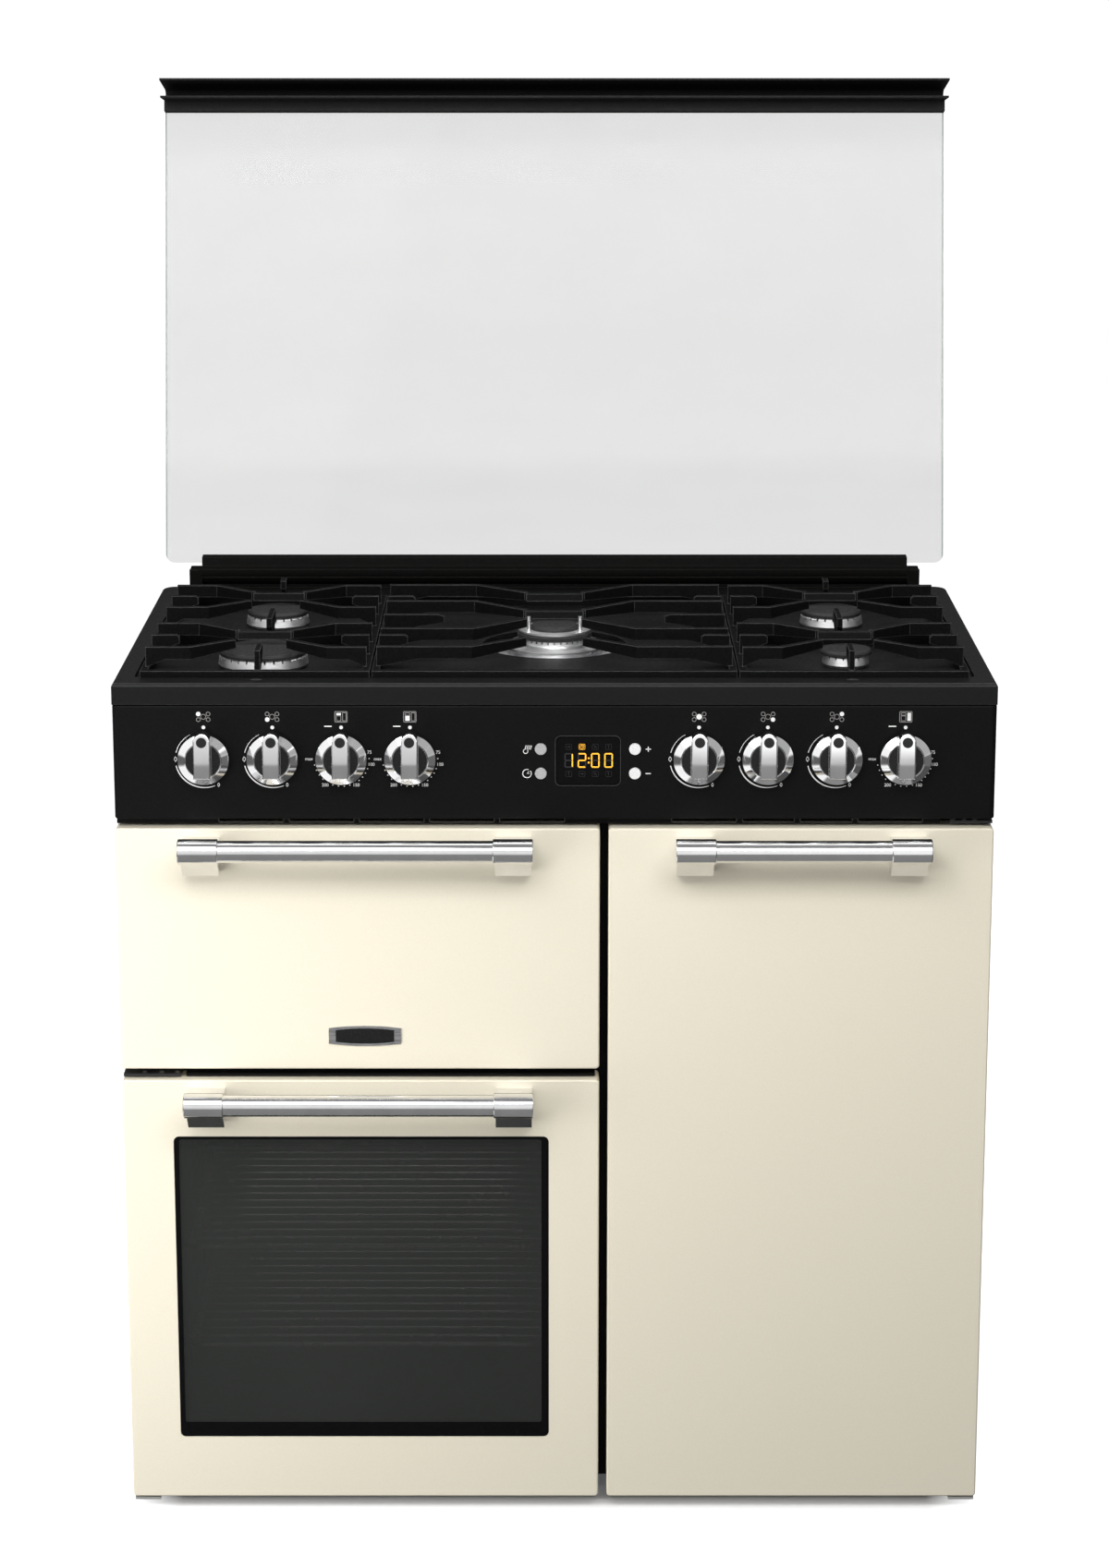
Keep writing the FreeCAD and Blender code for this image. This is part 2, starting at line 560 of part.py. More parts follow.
# Door seals: soft frames on the front frame, just clear of the shut doors.
def seal(x, z):
    o = q.sealOut + q.sealWide
    body, item = plate("Seal", (x[0] - o, x[1] + o), (z[0] - o, z[1] + o),
                       (q.doorDepth + q.sealGap, q.frameBack), q.sealCorner)
    window(body, (x[0] - q.sealOut, x[1] + q.sealOut), (z[0] - q.sealOut, z[1] + q.sealOut),
           (q.doorDepth - q.sealGap, q.frameBack + q.skin))
    return body


seals = [seal(leftCavity, grillSpan), seal(leftCavity, mainSpan), seal(tallCavity, tallSpan)]
node("oven_door_seals", group(*seals))


# Convection sets: slotted baffle, ring element, fan on its shaft and motor behind the oven.
def baffle(x, z, fan):
    body, item = plate("Baffle", (x[0] + q.baffleInset, x[1] - q.baffleInset),
                       (fan[1] - q.ringRadius - q.baffleInset, fan[1] + q.ringRadius + q.baffleInset),
                       (q.baffleBack, q.baffleBack + q.baffleThick), q.cavityCorner)
    holes = []
    for i in range(int(q.baffleSlots.value)):
        a = 2 * math.pi * i / q.baffleSlots.value
        for reach in (0.5, 1):
            holes.append((fan[0] + q.baffleSlotReach * (reach * math.cos(a)),
                          fan[1] + q.baffleSlotReach * (reach * math.sin(a)), q.grillTube))
    pocket(body, rings(body, "XZ_Plane", holes, -back(q.baffleBack - q.baffleThick)), q.baffleThick * 3)
    post = rod(q.grillTube, q.ovenBack - q.baffleBack - q.baffleThick, fan[0] - q.ringRadius - q.leadSpread,
               back(q.baffleBack + q.baffleThick), fan[1], alongY)
    twin = rod(q.grillTube, q.ovenBack - q.baffleBack - q.baffleThick, fan[0] + q.ringRadius + q.leadSpread,
               back(q.baffleBack + q.baffleThick), fan[1], alongY)
    return fuse(body, post, twin)


node("fan_baffles", group(baffle(leftCavity, mainSpan, mainFan), baffle(tallCavity, tallSpan, tallFan)))


def fan(label, centre):
    body = newBody(label)
    pad(body, rings(body, "XY_Plane", [(0, 0, q.fanRadius)]), q.fanDisc)
    blade = pad(body, outline(body, "XY_Plane", rectangle((q.fanHub + q.skin, q.fanRadius - q.skin),
                                                          (-q.bladeThick / 2, q.bladeThick / 2))), q.fanBlade)
    around(body, blade, q.fanBlades)
    pad(body, rings(body, "XY_Plane", [(0, 0, q.fanHub)]), q.fanBlade)
    pad(body, rings(body, "XY_Plane", [(0, 0, q.shaftRadius)]), q.shaftEnd - q.fanBack, True)
    place(body, centre[0], back(q.fanBack), centre[1], towardUser)
    node(label, body)


fan("main_oven_fan", mainFan)
fan("tall_oven_fan", tallFan)


def motor(centre):
    body = newBody("Motor")
    front = q.ovenBack + q.cavityWall
    pad(body, rings(body, "XY_Plane", [(0, 0, q.motorRadius)]), q.motorBack - front, True)
    ease(body, body.Tip, q.doorCorner, lies("z", front - q.motorBack))
    pocket(body, rings(body, "XY_Plane", [(0, 0, q.shaftRadius + q.runFit)]), q.shaftEnd - front + q.skin)
    return place(body, centre[0], back(front), centre[1], towardUser)


node("fan_motors", group(motor(mainFan), motor(tallFan)))


# Sheathed elements: rings round the fans and a looped one under the grill roof.
def ringElement(centre):
    ring = doc.addObject("Part::Torus", "Ring")
    bind(ring, "Radius1", q.ringRadius)
    bind(ring, "Radius2", q.ringTube)
    place(ring, centre[0], back(q.ringBack), centre[1], alongY)
    leads = [rod(q.ringTube, q.ovenBack - q.ringBack, centre[0] + q.leadSpread * sign, back(q.ringBack),
                 centre[1] - q.ringRadius, alongY) for sign in (-1, 1)]
    return fuse(ring, *leads)


def loopedElement():
    r = q.grillLoopPitch.value / 2
    x = leftMiddle.value - q.grillLoopPitch.value * (q.grillLoops.value - 0.5) / 2 - r / 2
    z = (q.grillHigh - q.grillElementDrop).value
    front = back(q.grillElementFront + q.grillLoopPitch / 2).value
    far = back(q.grillBack).value
    near = far - q.leadLength.value - r
    at = FreeCAD.Vector
    path = [Part.makeLine(at(x, far, z), at(x, front, z))]
    legs = int(q.grillLoops.value) * 2 - 1
    pitch = q.grillLoopPitch.value * 0.5
    for i in range(legs):
        nose = front if i % 2 == 0 else near
        bulge = -pitch / 2 if i % 2 == 0 else pitch / 2
        path.append(Part.Arc(at(x, nose, z), at(x + pitch / 2, nose + bulge, z),
                             at(x + pitch, nose, z)).toShape())
        x += pitch
        goal = (far if i == legs - 1 else near) if i % 2 == 0 else front
        path.append(Part.makeLine(at(x, nose, z), at(x, goal, z)))
    spine = Part.Wire(path)
    ring = Part.Wire(Part.makeCircle(q.grillTube.value, at(path[0].Vertexes[0].X, far, z), at(0, -1, 0)))
    item = doc.addObject("Part::Feature", "GrillElement")
    item.Shape = spine.makePipeShell([ring], True, False)
    return item


node("heating_elements", group(ringElement(mainFan), ringElement(tallFan), loopedElement()))


# Wire shelves on wire side racks.
def shelfShape(x, level):
    at = FreeCAD.Vector
    lo, hi = size(x[0] + q.shelfSide).value, size(x[1] - q.shelfSide).value
    y0, y1 = back(q.shelfFront).value, back(q.shelfBack).value
    thin, thick, bend = q.shelfWire.value, q.shelfFrame.value, q.shelfBend.value
    core = Part.makePlane(hi - lo - 2 * bend, y1 - y0 - 2 * bend, at(lo + bend, y0 + bend, level))
    loop = core.makeOffset2D(bend).OuterWire
    first = loop.OrderedEdges[0]
    ring = Part.makeCircle(thick, first.valueAt(first.FirstParameter), first.tangentAt(first.FirstParameter))
    frame = loop.makePipeShell([Part.Wire(ring)], True, False)
    count = int(q.shelfWires.value)
    wires = []
    for i in range(1, count + 1):
        y = y0 + (y1 - y0) * i / (count + 1)
        wires.append(Part.makeCylinder(thin, hi - lo, at(lo, y, level + thick - thin), at(1, 0, 0)))
    return frame.multiFuse(wires)


def rackShape(edge, inward, levels, low, high):
    at = FreeCAD.Vector
    wire = q.rackWire.value
    y0, y1 = back(q.shelfFront + q.rackEnd).value, back(q.shelfBack - q.rackEnd).value
    wall = edge + inward * wire
    reach = edge + inward * q.rackIn.value
    bars = [Part.makeCylinder(wire, high - low, at(wall, y, low), at(0, 0, 1)) for y in (y0, y1)]
    for level in levels:
        z = level - q.shelfFrame.value - wire
        bars.append(Part.makeCylinder(wire, y1 - y0, at(reach, y0, z), at(0, 1, 0)))
        for y in (y0, y1):
            bars.append(Part.makeSphere(wire, at(reach, y, z)))
            bars.append(Part.makeCylinder(wire, abs(reach - wall), at(wall, y, z), at(inward, 0, 0)))
    return bars[0].multiFuse(bars[1:])


mainLevels = [q.shelfLow.value + q.shelfPitch.value * i for i in range(3)]
tallLevels = [q.tallShelfLow.value + q.tallShelfPitch.value * i for i in range(3)]
shelfList = [shelfShape(leftCavity, z) for z in mainLevels]
shelfList += [shelfShape(tallCavity, z) for z in tallLevels]
shelves = doc.addObject("Part::Feature", "oven_shelves")
shelves.Shape = Part.makeCompound(shelfList)
node("oven_shelves", shelves)
racks = doc.addObject("Part::Feature", "shelf_side_racks")
rackList = []
for x, z, levels in ((leftCavity, mainSpan, mainLevels), (tallCavity, tallSpan, tallLevels)):
    low = levels[0] - q.rackEnd.value
    high = levels[-1] + q.rackEnd.value
    rackList.append(rackShape(x[0].value, 1, levels, low, high))
    rackList.append(rackShape(x[1].value, -1, levels, low, high))
racks.Shape = Part.makeCompound(rackList)
node("shelf_side_racks", racks)


# Doors: deep-drawn skins with a pressed liner, pivots in the top and bottom edges of the side-hung ones.
def doorSkin(label, x, z, finish=None):
    body, item = plate(label, x, z, (0, q.skinDepth), q.doorCorner)
    item = ease(body, item, q.doorEase, lies("y", back(0)))
    t = q.doorSkin
    window(body, (x[0] + t, x[1] - t), (z[0] + t, z[1] - t), (t, q.skinDepth + t))
    if finish:
        finish(body)
    return node(label, body)


def doorLiner(label, x, z, finish=None):
    i = q.linerInset
    body, item = plate(label, (x[0] + i, x[1] - i), (z[0] + i, z[1] - i),
                       (q.skinDepth, q.doorDepth - q.plugRise), q.doorCorner)
    p = q.plugInset
    plug = outline(body, "XZ_Plane", rectangle((x[0] + p, x[1] - p), (z[0] + p, z[1] - p)),
                   -back(q.doorDepth - q.plugRise))
    item = pad(body, plug, q.plugRise, True)
    ease(body, item, q.doorEase, lies("y", back(q.doorDepth)))
    if finish:
        finish(body)
    return node(label, body)


leftDoor = (-halfWidth, q.leftDoorInner)
tallDoor = (q.rightDoorInner, halfWidth)
mainDoorSpan = (q.doorBottom, q.mainDoorTop)
grillDoorSpan = (q.grillDoorBottom, q.doorTop)
tallDoorSpan = (q.doorBottom, q.doorTop)
leftPivot = -halfWidth + q.pivotIn
rightPivot = halfWidth - q.pivotIn
glazed = (q.windowLeft, q.windowRight)
glazedSpan = (q.windowLow, q.windowHigh)
grillPivotZ = q.grillDoorBottom + q.grillPivotUp
lugPlaces = (leftDoor[0] + q.lugIn, leftDoor[1] - q.lugIn)


def pivotHoles(body, x, z):
    hole = (x, back(q.pivotBack), q.pivotRadius + q.runFit)
    pocket(body, rings(body, "XY_Plane", [hole], z[1] + q.skin), q.doorSkin + q.skin * 2)
    pocket(body, rings(body, "XY_Plane", [hole], z[0] + q.doorSkin + q.skin), q.doorSkin + q.skin * 2)


def mainSkin(body):
    window(body, glazed, glazedSpan, (-q.skin, q.doorSkin + q.skin), q.windowCorner)
    pivotHoles(body, leftPivot, mainDoorSpan)


def mainLiner(body):
    window(body, glazed, glazedSpan, (q.skinDepth - q.skin, q.doorDepth + q.skin), q.windowCorner)


def grillSkin(body):
    low = q.grillDoorBottom + q.doorSkin
    top = grillPivotZ + q.receiverRise
    gap = q.lugThick / 2 + q.lugGap
    for lug in lugPlaces:
        for inner, outer in ((gap, gap + q.receiverThick), (-gap - q.receiverThick, -gap)):
            block = rectangle((lug + inner, lug + outer), (low, top))
            pad(body, outline(body, "XZ_Plane", block, -back(q.doorSkin)), q.skinDepth - q.doorSkin, True)
        notch = rectangle((lug - gap, lug + gap), (q.grillDoorBottom - q.skin, low + q.skin))
        pocket(body, outline(body, "XZ_Plane", notch, -back(q.grillPivotBack - q.lugRadius - q.lugGap)),
               q.skinDepth)
        bore = gap + q.receiverThick + q.skin
        hole = [(back(q.grillPivotBack), grillPivotZ, q.lugPin + q.runFit)]
        pocket(body, rings(body, "YZ_Plane", hole, lug + bore), bore * 2)


def grillLiner(body):
    gap = q.lugThick / 2 + q.lugGap
    for lug in lugPlaces:
        notch = rectangle((lug - gap, lug + gap), (q.grillDoorBottom, grillPivotZ + q.lugNotch))
        pocket(body, outline(body, "XZ_Plane", notch, -back(q.skinDepth - q.skin)), q.doorDepth)


doorSkin("grill_door_panel", leftDoor, grillDoorSpan, grillSkin)
doorLiner("grill_door_liner", leftDoor, grillDoorSpan, grillLiner)
doorSkin("main_door_panel", leftDoor, mainDoorSpan, mainSkin)
doorLiner("main_door_liner", leftDoor, mainDoorSpan, mainLiner)
doorSkin("tall_door_panel", tallDoor, tallDoorSpan, lambda body: pivotHoles(body, rightPivot, tallDoorSpan))
doorLiner("tall_door_liner", tallDoor, tallDoorSpan)


def pane(y, corner):
    g = q.paneGap
    body, item = plate("Pane", (glazed[0] + g, glazed[1] - g), (glazedSpan[0] + g, glazedSpan[1] - g),
                       (y, y + q.paneThick), corner)
    return body


def innerPane():
    lap = q.paneLap
    body, item = plate("InnerPane", (glazed[0] - lap, glazed[1] + lap),
                       (glazedSpan[0] - lap, glazedSpan[1] + lap),
                       (q.skinDepth - q.paneThick, q.skinDepth), q.windowCorner)
    return body


node("main_door_glass", group(pane(q.paneSet, q.windowCorner), innerPane()))

badge = newBody("grill_door_badge")
bow = q.badgeBow
reach = (q.badgeRight - q.badgeLeft) / 2
arc = (reach * reach + bow * bow) / (bow * 2)
pad(badge, outline(badge, "XZ_Plane", [
    (q.badgeLeft, q.badgeLow + bow), (q.badgeRight, q.badgeLow + bow, arc), (q.badgeRight, q.badgeHigh - bow),
    (q.badgeLeft, q.badgeHigh - bow, arc)], -back(-q.badgeThick)), q.badgeThick, True)
node("grill_door_badge", badge)


# Bar handles: a round bar between two capped brackets that stand off the door.
def handle(label, x, length, top):
    body = newBody(label)
    z = top - q.handleBelowTop
    y = back(-q.handleReach)
    ends = (x - length / 2, x + length / 2 - q.bracketLength)
    for left in ends:
        stem = [(y, z - q.bracketRadius / 2), (back(-q.bracketFoot), z - q.bracketDrop),
                (back(0), z - q.bracketDrop),
                (back(0), z + q.bracketRadius / 3), (y, z + q.bracketRadius / 3)]
        pad(body, outline(body, "YZ_Plane", stem, left + q.bracketInset),
            q.bracketLength - q.bracketInset * 2)
        item = pad(body, rings(body, "YZ_Plane", [(y, z, q.bracketRadius)], left), q.bracketLength)
        rims = (lies("x", left), lies("x", left + q.bracketLength))
        ease(body, item, q.bracketEase, lambda e: rims[0](e) or rims[1](e))
    pad(body, rings(body, "YZ_Plane", [(y, z, q.barRadius)], ends[0] + q.bracketLength),
        ends[1] - ends[0] - q.bracketLength)
    return node(label, body)


leftDoorMiddle = (leftDoor[0] + leftDoor[1]) / 2
tallDoorMiddle = (tallDoor[0] + tallDoor[1]) / 2
handle("grill_door_handle", leftDoorMiddle, q.handleLength, q.doorTop)
handle("main_door_handle", leftDoorMiddle, q.handleLength, q.mainDoorTop)
handle("tall_door_handle", tallDoorMiddle, q.tallHandleLength, q.doorTop)


# Hinge plates with their pivots, and the two lugs that carry the drop-down grill door.
def topPlate(x, level, door):
    sheet = box(x, (back(q.plateFront), back(q.frameBack)), (level, level + q.plateThick))
    pin = rod(q.pivotRadius, level - door + q.pivotLength, leftPivot if door is q.mainDoorTop else rightPivot,
              back(q.pivotBack), door - q.pivotLength)
    return fuse(sheet, pin)


def footPlate():
    edge = -sideOuter
    sheet = box((edge, edge + q.footPlateReach), (back(q.plateFront), back(q.frameBack)),
                (q.footPlateLow, q.footPlateLow + q.plateThick))
    rise = box((edge, edge + q.footPlateReach), (back(q.frameBack - q.skin), back(q.frameBack)),
               (q.footPlateLow, q.footPlateLow + q.bracketRise))
    pin = rod(q.pivotRadius, q.doorBottom - q.footPlateLow + q.pivotLength, leftPivot, back(q.pivotBack),
              q.footPlateLow)
    return fuse(sheet, rise, pin)


def lug(x):
    body = newBody("Lug")
    r = q.lugRadius
    y = back(q.grillPivotBack)
    pad(body, outline(body, "YZ_Plane", [
        (y, grillPivotZ - r, r), (back(q.frameBack), grillPivotZ - r), (back(q.frameBack), grillPivotZ + r),
        (y, grillPivotZ + r), (y - r, grillPivotZ, r)], x - q.lugThick / 2), q.lugThick)
    reach = q.lugPinReach + q.lugThick / 2
    pad(body, rings(body, "YZ_Plane", [(y, grillPivotZ, q.lugPin)], x - reach), reach * 2)
    return body


leftFootPlate = footPlate()
node("door_hinge_plates", group(
    topPlate((-sideOuter, -sideOuter + q.plateReach), q.mainPlateLow, q.mainDoorTop),
    topPlate((sideOuter - q.tallPlateReach, sideOuter), q.tallPlateLow, q.doorTop),
    leftFootPlate, mirrored(leftFootPlate, (1, 0, 0)), lug(lugPlaces[0]), lug(lugPlaces[1])))

# Control panel: a folded tray, bored for the spindles and buttons and cut for the clock.
gasX = [-q.knobFirst - q.knobPitch * 3, -q.knobFirst - q.knobPitch * 2, q.knobFirst,
        q.knobFirst + q.knobPitch,
        q.knobFirst + q.knobPitch * 2]
ovenX = [-q.knobFirst - q.knobPitch, -q.knobFirst, q.knobFirst + q.knobPitch * 3]
panelX = (-halfWidth, halfWidth)
clockSpan = (q.clockX - q.clockWide / 2, q.clockX + q.clockWide / 2)
clockRise = (q.clockZ - q.clockHeight / 2, q.clockZ + q.clockHeight / 2)
buttonPlaces = {
    "clock_button_upper_left": (q.clockX - q.buttonX, q.buttonHigh),
    "clock_button_lower_left": (q.clockX - q.buttonX, q.buttonLow),
    "clock_button_upper_right": (q.clockX + q.buttonX, q.buttonHigh),
    "clock_button_lower_right": (q.clockX + q.buttonX, q.buttonLow),
}
panel, item = plate("control_panel", panelX, (q.panelLow, q.panelHigh), (0, q.frameBack))
item = ease(panel, item, q.panelEnd, lambda e: runs("z")(e) and abs(e.CenterOfMass.y - back(0).value) < 1e-4)
item = ease(panel, item, q.panelEase, lies("y", back(0)))
w = q.panelWall
window(panel, (panelX[0] + w, panelX[1] - w), (q.panelLow + w, q.panelHigh - w),
       (q.panelFace, q.frameBack + w))
window(panel, clockSpan, clockRise, (-w, q.panelFace + w), q.clockCorner)
holes = [(x, q.knobHeight, q.spindleHole) for x in gasX + ovenX]
holes += [(x, z, q.buttonHole) for x, z in buttonPlaces.values()]
pocket(panel, rings(panel, "XZ_Plane", holes, -back(-w)), q.panelFace + w * 2)
node("control_panel", panel)

fit = q.clockFit
clock, item = plate("clock_module", (clockSpan[0] + fit, clockSpan[1] - fit),
                    (clockRise[0] + fit, clockRise[1] - fit),
                    (q.clockSet, q.panelFace + fit), q.clockCorner)
lip = q.clockLip
case = outline(clock, "XZ_Plane", rectangle((clockSpan[0] - lip, clockSpan[1] + lip), (clockRise[0] - lip,
                                                                                       clockRise[1] + lip)),
               -back(q.panelFace))
pad(clock, case, q.clockCase, True)
node("clock_module", clock)


def button(label, x, z):
    body = newBody(label)
    behind = q.panelFace + q.buttonBehind
    item = pad(body, rings(body, "XY_Plane", [(0, 0, q.buttonRadius)]), q.buttonProud + behind)
    ease(body, item, q.buttonEase, lies("z", q.buttonProud + behind))
    pad(body, rings(body, "XY_Plane", [(0, 0, q.buttonFlange)]), q.buttonFlangeThick, True)
    place(body, x, back(behind), z, towardUser)
    node(label, body)


for label, (x, z) in buttonPlaces.items():
    button(label, x, z)


# Knobs: turned skirt with a bevelled bezel, dished middle and a raised grip with a round nose.
def knob(label, x):
    body = newBody(label)
    r = q.knobRadius
    revolve(body, outline(body, "XZ_Plane", [
        (0, 0), (r - q.knobEase, 0), (r, q.knobEase), (r, q.knobEdge), (q.knobDisc + q.knobEase, q.knobBezel),
        (q.knobDisc, q.knobBezel - q.knobDish), (0, q.knobBezel - q.knobDish)]))
    half = q.gripWidth / 2
    grip = outline(body, "XY_Plane", [
        (-half, -q.gripDown), (half, -q.gripDown), (half, q.gripUp - half), (0, q.gripUp, half),
        (-half, q.gripUp - half, half)], q.knobBezel - q.knobDish * 2)
    pad(body, grip, q.gripHeight - q.knobBezel + q.knobDish * 2)
    reach = (q.gripUp + q.skin, -q.gripDown - q.skin)
    ends = [q.gripHeight - q.gripCrown + squareRoot(q.gripCrown * q.gripCrown - y * y) for y in reach]
    above = outline(body, "YZ_Plane", [
        (reach[1], q.gripHeight + q.skin), (reach[0], q.gripHeight + q.skin), (reach[0], ends[0]),
        (reach[1], ends[1], q.gripCrown)], half + q.skin)
    item = pocket(body, above, q.gripWidth + q.skin * 2)
    ease(body, item, q.gripEase, crowned(q.gripHeight, q.gripCrown))
    pocket(body, rings(body, "XY_Plane", [(0, 0, q.spindleRadius + q.runFit)]), q.boreDepth, True)
    place(body, x, back(-q.knobOff), q.knobHeight, towardUser)
    node(label, body)


gasNames = ["rear_left", "front_left", "wok", "front_right", "rear_right"]
ovenNames = ["grill", "main_oven", "tall_oven"]
for name, x in zip(gasNames + ovenNames, gasX + ovenX):
    knob(name + "_knob", x)
spindleFront = back(-q.knobOff - q.spindleInKnob)
for name, x in zip(gasNames, gasX):
    node(name + "_tap_spindle", rod(q.spindleRadius, back(q.spindleBack) - spindleFront, x, spindleFront,
                                    q.knobHeight, alongY))

# Gas rail with its taps, and the three oven regulators with their spindles.
railZ = q.knobHeight - q.railDrop
railY = back((q.tapFront + q.tapBack) / 2)
taps = []
bores = []
for x in gasX:
    taps.append(box((x - q.tapWidth / 2, x + q.tapWidth / 2), (back(q.tapFront), back(q.tapBack)),
                    (q.knobHeight - q.tapHeight / 2, q.knobHeight + q.tapHeight / 2)))
    bores.append(rod(q.spindleRadius + q.runFit, q.spindleBack + q.tapBoreSpare - q.tapFront + q.skin, x,
                     back(q.tapFront - q.skin), q.knobHeight, alongY))
tube = rod(q.railRadius, q.railEnd * 2, -q.railEnd, railY, railZ, alongX)
hollow = rod(q.railRadius - q.railWall, q.railEnd * 2 - q.skin, -q.railEnd, railY, railZ, alongX)
tab = box((q.railTabX - q.railTab / 2, q.railTabX + q.railTab / 2), (back(frameRear), railY),
          (q.frameTop - q.railTabDrop, railZ))
node("gas_rail", cut(fuse(tube, tab, mirrored(tab, (1, 0, 0)), *taps), hollow, *bores))
stats = []
for x in ovenX:
    case = box((x - q.statWidth / 2, x + q.statWidth / 2), (back(q.statFront), back(q.statBack)),
               (q.knobHeight - q.tapHeight / 3, q.knobHeight - q.tapHeight / 3 + q.statHeight))
    stem = rod(q.spindleRadius, back(q.statFront) - spindleFront, x, spindleFront, q.knobHeight, alongY)
    posts = [rod(q.statPost, q.statFront - q.panelFace, x + q.statPostX * sign, back(q.panelFace),
                 q.knobHeight + q.statPostUp, alongY) for sign in (-1, 1)]
    stats.append(fuse(case, stem, *posts))
node("oven_regulators", group(*stats))

# Hob: pressed sheet with a turned-down rim, a shallow well and a round dish under the wok burner.
hob = newBody("hob_top")
s = q.hobSheet
hobSpan = rectangle((-halfWidth, halfWidth), (back(0), back(q.hobBack)))
item = pad(hob, outline(hob, "XY_Plane", hobSpan, q.hobLow), q.hobTop - q.hobLow)
item = ease(hob, item, q.hobCorner, lambda e: runs("z")(e) and e.CenterOfMass.y > 0)
item = ease(hob, item, q.hobEase, lies("z", q.hobTop))
under = rectangle((-halfWidth + s, halfWidth - s), (back(s), back(q.hobBack - s)))
pocket(hob, outline(hob, "XY_Plane", under, q.hobLow), q.hobTop - q.hobLow - s, True)
wellFloor = q.hobTop - q.wellDeep
ww = q.wellWall
block = rectangle((-q.wellHalf - ww, q.wellHalf + ww), (back(q.wellFront - ww), back(q.wellBack + ww)))
pad(hob, outline(hob, "XY_Plane", block, wellFloor - s), q.wellDeep)
wokY = back(q.wokBack)
pad(hob, rings(hob, "XY_Plane", [(0, wokY, q.dishRadius + s)], q.dishFloor - s),
    wellFloor - q.dishFloor + s / 2)
well = rectangle((-q.wellHalf, q.wellHalf), (back(q.wellFront), back(q.wellBack)))
item = pocket(hob, outline(hob, "XY_Plane", well, q.hobTop), q.wellDeep)
item = ease(hob, item, q.wellCorner,
            lambda e: runs("z")(e) and abs(abs(e.CenterOfMass.x) - q.wellHalf.value) < 1e-4)
pocket(hob, rings(hob, "XY_Plane", [(0, wokY, q.dishRadius)], wellFloor), wellFloor - q.dishFloor)
burnerY = (back(q.burnerFront), back(q.burnerRear))
throats = [(x, y, q.throatRadius) for x in (-q.burnerX, q.burnerX) for y in burnerY]
pocket(hob, rings(hob, "XY_Plane", throats, q.hobTop), q.hobTop - q.hobLow)
pocket(hob, rings(hob, "XY_Plane", [(0, wokY, q.throatRadius)], q.hobTop), q.hobTop - q.hobLow)
node("hob_top", hob)


# Burners: slotted crowns with plain caps; the wok burner is a stack of rings.
def crown(radius, slots, x, y):
    body = newBody("Crown")
    inner = radius - q.crownWall
    top = q.crownHeight
    revolve(body, outline(body, "XZ_Plane", [
        (inner, 0), (radius - q.crownFoot, 0), (radius, q.crownFoot),
        (radius - q.crownLean, top - q.crownTaper), (radius - q.crownLean - q.crownTaper, top),
        (inner, top)]))
    slot = outline(body, "YZ_Plane", rectangle((-q.slotWidth / 2, q.slotWidth / 2), (top - q.slotDeep,
                                                                                     top + q.skin)),
                                                                                     inner - q.skin)
    cutSlot = pocket(body, slot, q.crownWall + q.skin * 2, True)
    around(body, cutSlot, slots)
    return place(body, x, y, wellFloor)


def cap(radius, x, y, z, thick, hole=None):
    body = newBody("Cap")
    ring = [(0, 0), (radius, 0), (radius, thick - q.capEase), (radius - q.capEase, thick),
            (0, thick + q.capDome)]
    if hole is not None:
        ring = [(hole, 0), (radius, 0), (radius, thick - q.capEase / 2), (radius - q.capEase, thick),
                (hole, thick)]
    revolve(body, outline(body, "XZ_Plane", ring))
    return place(body, x, y, z)


burners = [(-q.burnerX, burnerY[0], q.rapidRadius, q.rapidRadius - q.capOver, q.rapidSlots),
           (-q.burnerX, burnerY[1], q.semiRadius, q.semiRadius - q.capOver, q.semiSlots),
           (q.burnerX, burnerY[1], q.semiRadius, q.semiRadius - q.capOver, q.semiSlots),
           (q.burnerX, burnerY[0], q.auxRadius, q.auxCapRadius, q.auxSlots)]
node("burner_crowns", group(*[crown(r, n, x, y) for x, y, r, c, n in burners]))
capLevel = wellFloor + q.crownHeight
wokLevel = q.dishFloor
ringCap = cap(q.wokRingCap, 0, wokY, wokLevel + q.wokTeethHigh, q.wokRingHigh - q.wokTeethHigh,
              q.wokUpperNeck)
innerCap = cap(q.wokCap, 0, wokY, wokLevel + q.wokUpperHigh, q.wokCapThick)
node("burner_caps", group(*[cap(c, x, y, capLevel, q.capThick) for x, y, r, c, n in burners], ringCap,
                          innerCap))

wok = newBody("wok_burner")
neck = q.wokUpperNeck - q.runFit
revolve(wok, outline(wok, "XZ_Plane", [
    (0, 0), (q.wokPlate, 0), (q.wokPlate, q.wokPlateThick), (q.wokBody, q.wokPlateThick),
    (q.wokBody, q.wokFlangeLow),
    (q.wokFlange, q.wokFlangeHigh - q.wokPlateThick), (q.wokFlange, q.wokFlangeHigh),
    (q.wokTeeth, q.wokFlangeHigh + q.wokSkirt),
    (q.wokTeeth, q.wokTeethHigh), (neck, q.wokTeethHigh), (neck, q.wokRingHigh + q.skin / 4),
    (q.wokUpper, q.wokRingHigh + q.skin / 4), (q.wokUpper, q.wokUpperHigh), (0, q.wokUpperHigh)]))
tooth = outline(wok, "YZ_Plane", rectangle((-q.slotWidth / 2, q.slotWidth / 2), (q.wokTeethHigh - q.slotDeep,
                                                                                 q.wokTeethHigh)),
                q.wokTeeth + q.skin)
around(wok, pocket(wok, tooth, q.wokTeeth - neck), q.wokTeethSlots)
tab = outline(wok, "XY_Plane", rectangle((q.wokPlate - q.skin, q.wokPlate + q.tabLength), (-q.tabWidth / 2,
                                                                                           q.tabWidth / 2)))
around(wok, pad(wok, tab, q.wokPlateThick), q.tabCount)
